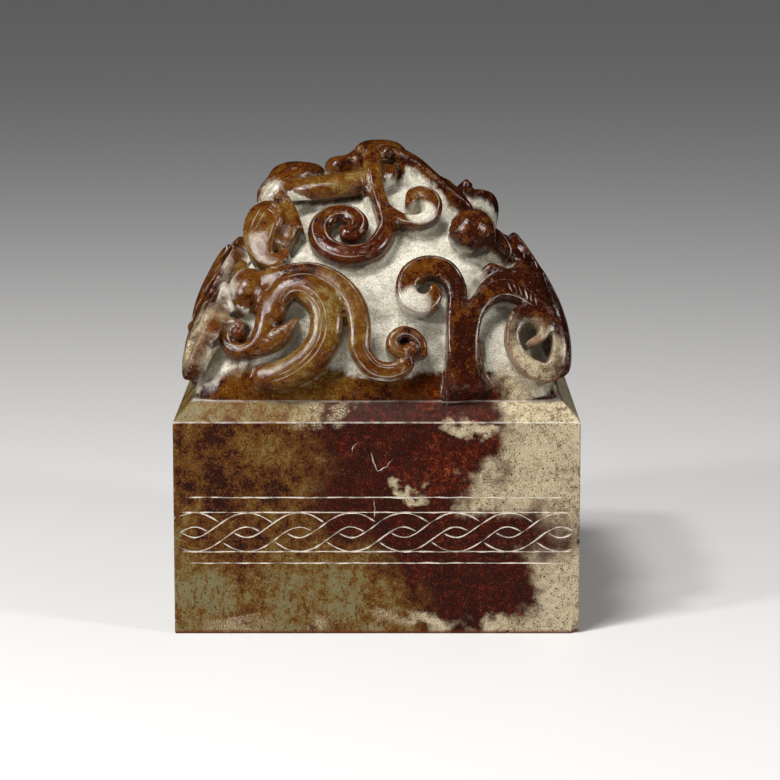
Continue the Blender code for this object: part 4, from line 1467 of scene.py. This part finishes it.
class SEAL_OT_carve(bpy.types.Operator):
    """Carve the jade seal: its block, its knob and the lines on them"""
    bl_idname = "seal.carve"
    bl_label = "Carve the seal"

    def execute(self, context):
        sizes = context.scene.seal_sizes
        knob, crests = carved_knob(sizes)
        seal = combined(plain_block(sizes), knob, "UNION")
        cut_chips(seal)
        uncut = seal.data.copy()
        cut_knob_lines(seal, sizes)
        cut_wall_lines(seal, sizes)
        cut_cracks(seal, sizes)
        cut_seal_face(seal)
        drop_flakes(seal.data)
        finish_skin(seal, uncut, edge_values(uncut), crests)
        seal.name = "jade_seal_carved"
        seal.data.name = "jade_seal_carved"
        seal.data.transform(Matrix.Scale(MILLIMETRE, 4))
        seal.data.materials.clear()
        seal.data.materials.append(jade_material(context.scene.jade_colours, context.scene.jade_finish))
        seal.data.shade_smooth()
        seal.data.set_sharp_from_angle(angle=math.radians(SHARP_ANGLE))
        for face in seal.data.polygons:
            face.use_smooth = face.center.z > KNOB_FOOT * MILLIMETRE
        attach(seal, "root")
        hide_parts("jade_seal")
        return {"FINISHED"}


def area_light(name, place, size, power):
    """A soft light that faces the seal."""
    light = bpy.data.lights.new(name, "AREA")
    light.shape = "SQUARE"
    light.size = size
    light.energy = power
    item = linked(name, light)
    item.location = place
    item.rotation_euler = (Vector(LIGHT_TARGET) - Vector(place)).to_track_quat("-Z", "Y").to_euler()
    return item


def add_floor(stage):
    """A wide floor, that the polish mirrors darker than it is."""
    shape = bmesh.new()
    bmesh.ops.create_circle(shape, cap_ends=True, segments=64, radius=FLOOR_RADIUS)
    floor = linked("floor", meshed("floor", shape))
    material = bpy.data.materials.new("Floor")
    material.use_nodes = True
    nodes = Nodes(material.node_tree)
    mirrored = nodes.add("ShaderNodeLightPath").outputs["Is Glossy Ray"]
    surface = material.node_tree.nodes["Principled BSDF"]
    nodes.feed(surface, "Base Color", nodes.blend(mirrored, stage.floor_colour, stage.floor_mirrored))
    surface.inputs["Roughness"].default_value = 0.6
    floor.data.materials.append(material)


def studio(stage):
    """Surroundings that light the stone, look bright to the camera and aren't mirrored."""
    world = bpy.data.worlds.new("Studio")
    world.use_nodes = True
    nodes = Nodes(world.node_tree)
    rays = nodes.add("ShaderNodeLightPath").outputs
    strength = nodes.ramp(rays["Is Glossy Ray"], 0.0, 1.0, stage.sky, 0.0)
    strength = nodes.ramp(rays["Is Camera Ray"], 0.0, 1.0, strength, stage.backdrop)
    background = world.node_tree.nodes["Background"]
    nodes.feed(background, "Strength", strength)
    background.inputs["Color"].default_value = SKY_COLOUR
    return world


def placed_camera(stage):
    """The camera, in front of the seal and a little above it."""
    camera = bpy.data.cameras.new("camera")
    camera.sensor_width = 36.0
    camera.lens = stage.lens
    item = linked("camera", camera)
    away = Vector((0.0, -math.cos(stage.elevation), math.sin(stage.elevation)))
    item.location = Vector(CAMERA_AIM) + away * stage.distance
    item.rotation_euler = (math.pi / 2 - stage.elevation, 0.0, 0.0)
    return item


class SEAL_OT_stage(bpy.types.Operator):
    """Add the floor, the lights, the surroundings and the camera"""
    bl_idname = "seal.stage"
    bl_label = "Set the stage"

    def execute(self, context):
        stage = context.scene.seal_stage
        add_floor(stage)
        for name, (place, size) in LIGHTS.items():
            light = area_light(name, place, size, getattr(stage, name + "_power"))
            light.visible_glossy = name != "front"
        context.scene.world = studio(stage)
        context.scene.view_settings.view_transform = "Standard"
        context.scene.camera = placed_camera(stage)
        return {"FINISHED"}


class SEAL_PT_panel(bpy.types.Panel):
    """Sizes, colours and the steps"""
    bl_label = "Jade seal"
    bl_space_type = "VIEW_3D"
    bl_region_type = "UI"
    bl_category = "Seal"

    def draw(self, context):
        scene = context.scene
        for group in (scene.seal_sizes, scene.jade_colours, scene.jade_finish, scene.seal_stage):
            box = self.layout.box()
            for name in group.__annotations__:
                box.prop(group, name)
        self.layout.operator(SEAL_OT_carve.bl_idname)
        self.layout.operator(SEAL_OT_stage.bl_idname)


CLASSES = (SealSizes, JadeColours, JadeFinish, StageSettings, SEAL_OT_carve, SEAL_OT_stage, SEAL_PT_panel)
SETTINGS = (
    ("seal_sizes", SealSizes),
    ("jade_colours", JadeColours),
    ("jade_finish", JadeFinish),
    ("seal_stage", StageSettings),
)


def register():
    """Register the classes and their settings."""
    for item in CLASSES:
        bpy.utils.register_class(item)
    for name, group in SETTINGS:
        setattr(bpy.types.Scene, name, PointerProperty(type=group))


def unregister():
    """Take the settings and the classes away."""
    for name, _ in SETTINGS:
        delattr(bpy.types.Scene, name)
    for item in reversed(CLASSES):
        bpy.utils.unregister_class(item)


def main():
    """Build the seal and its stage."""
    register()
    bpy.ops.seal.carve()
    bpy.ops.seal.stage()


if __name__ == "__main__":
    main()
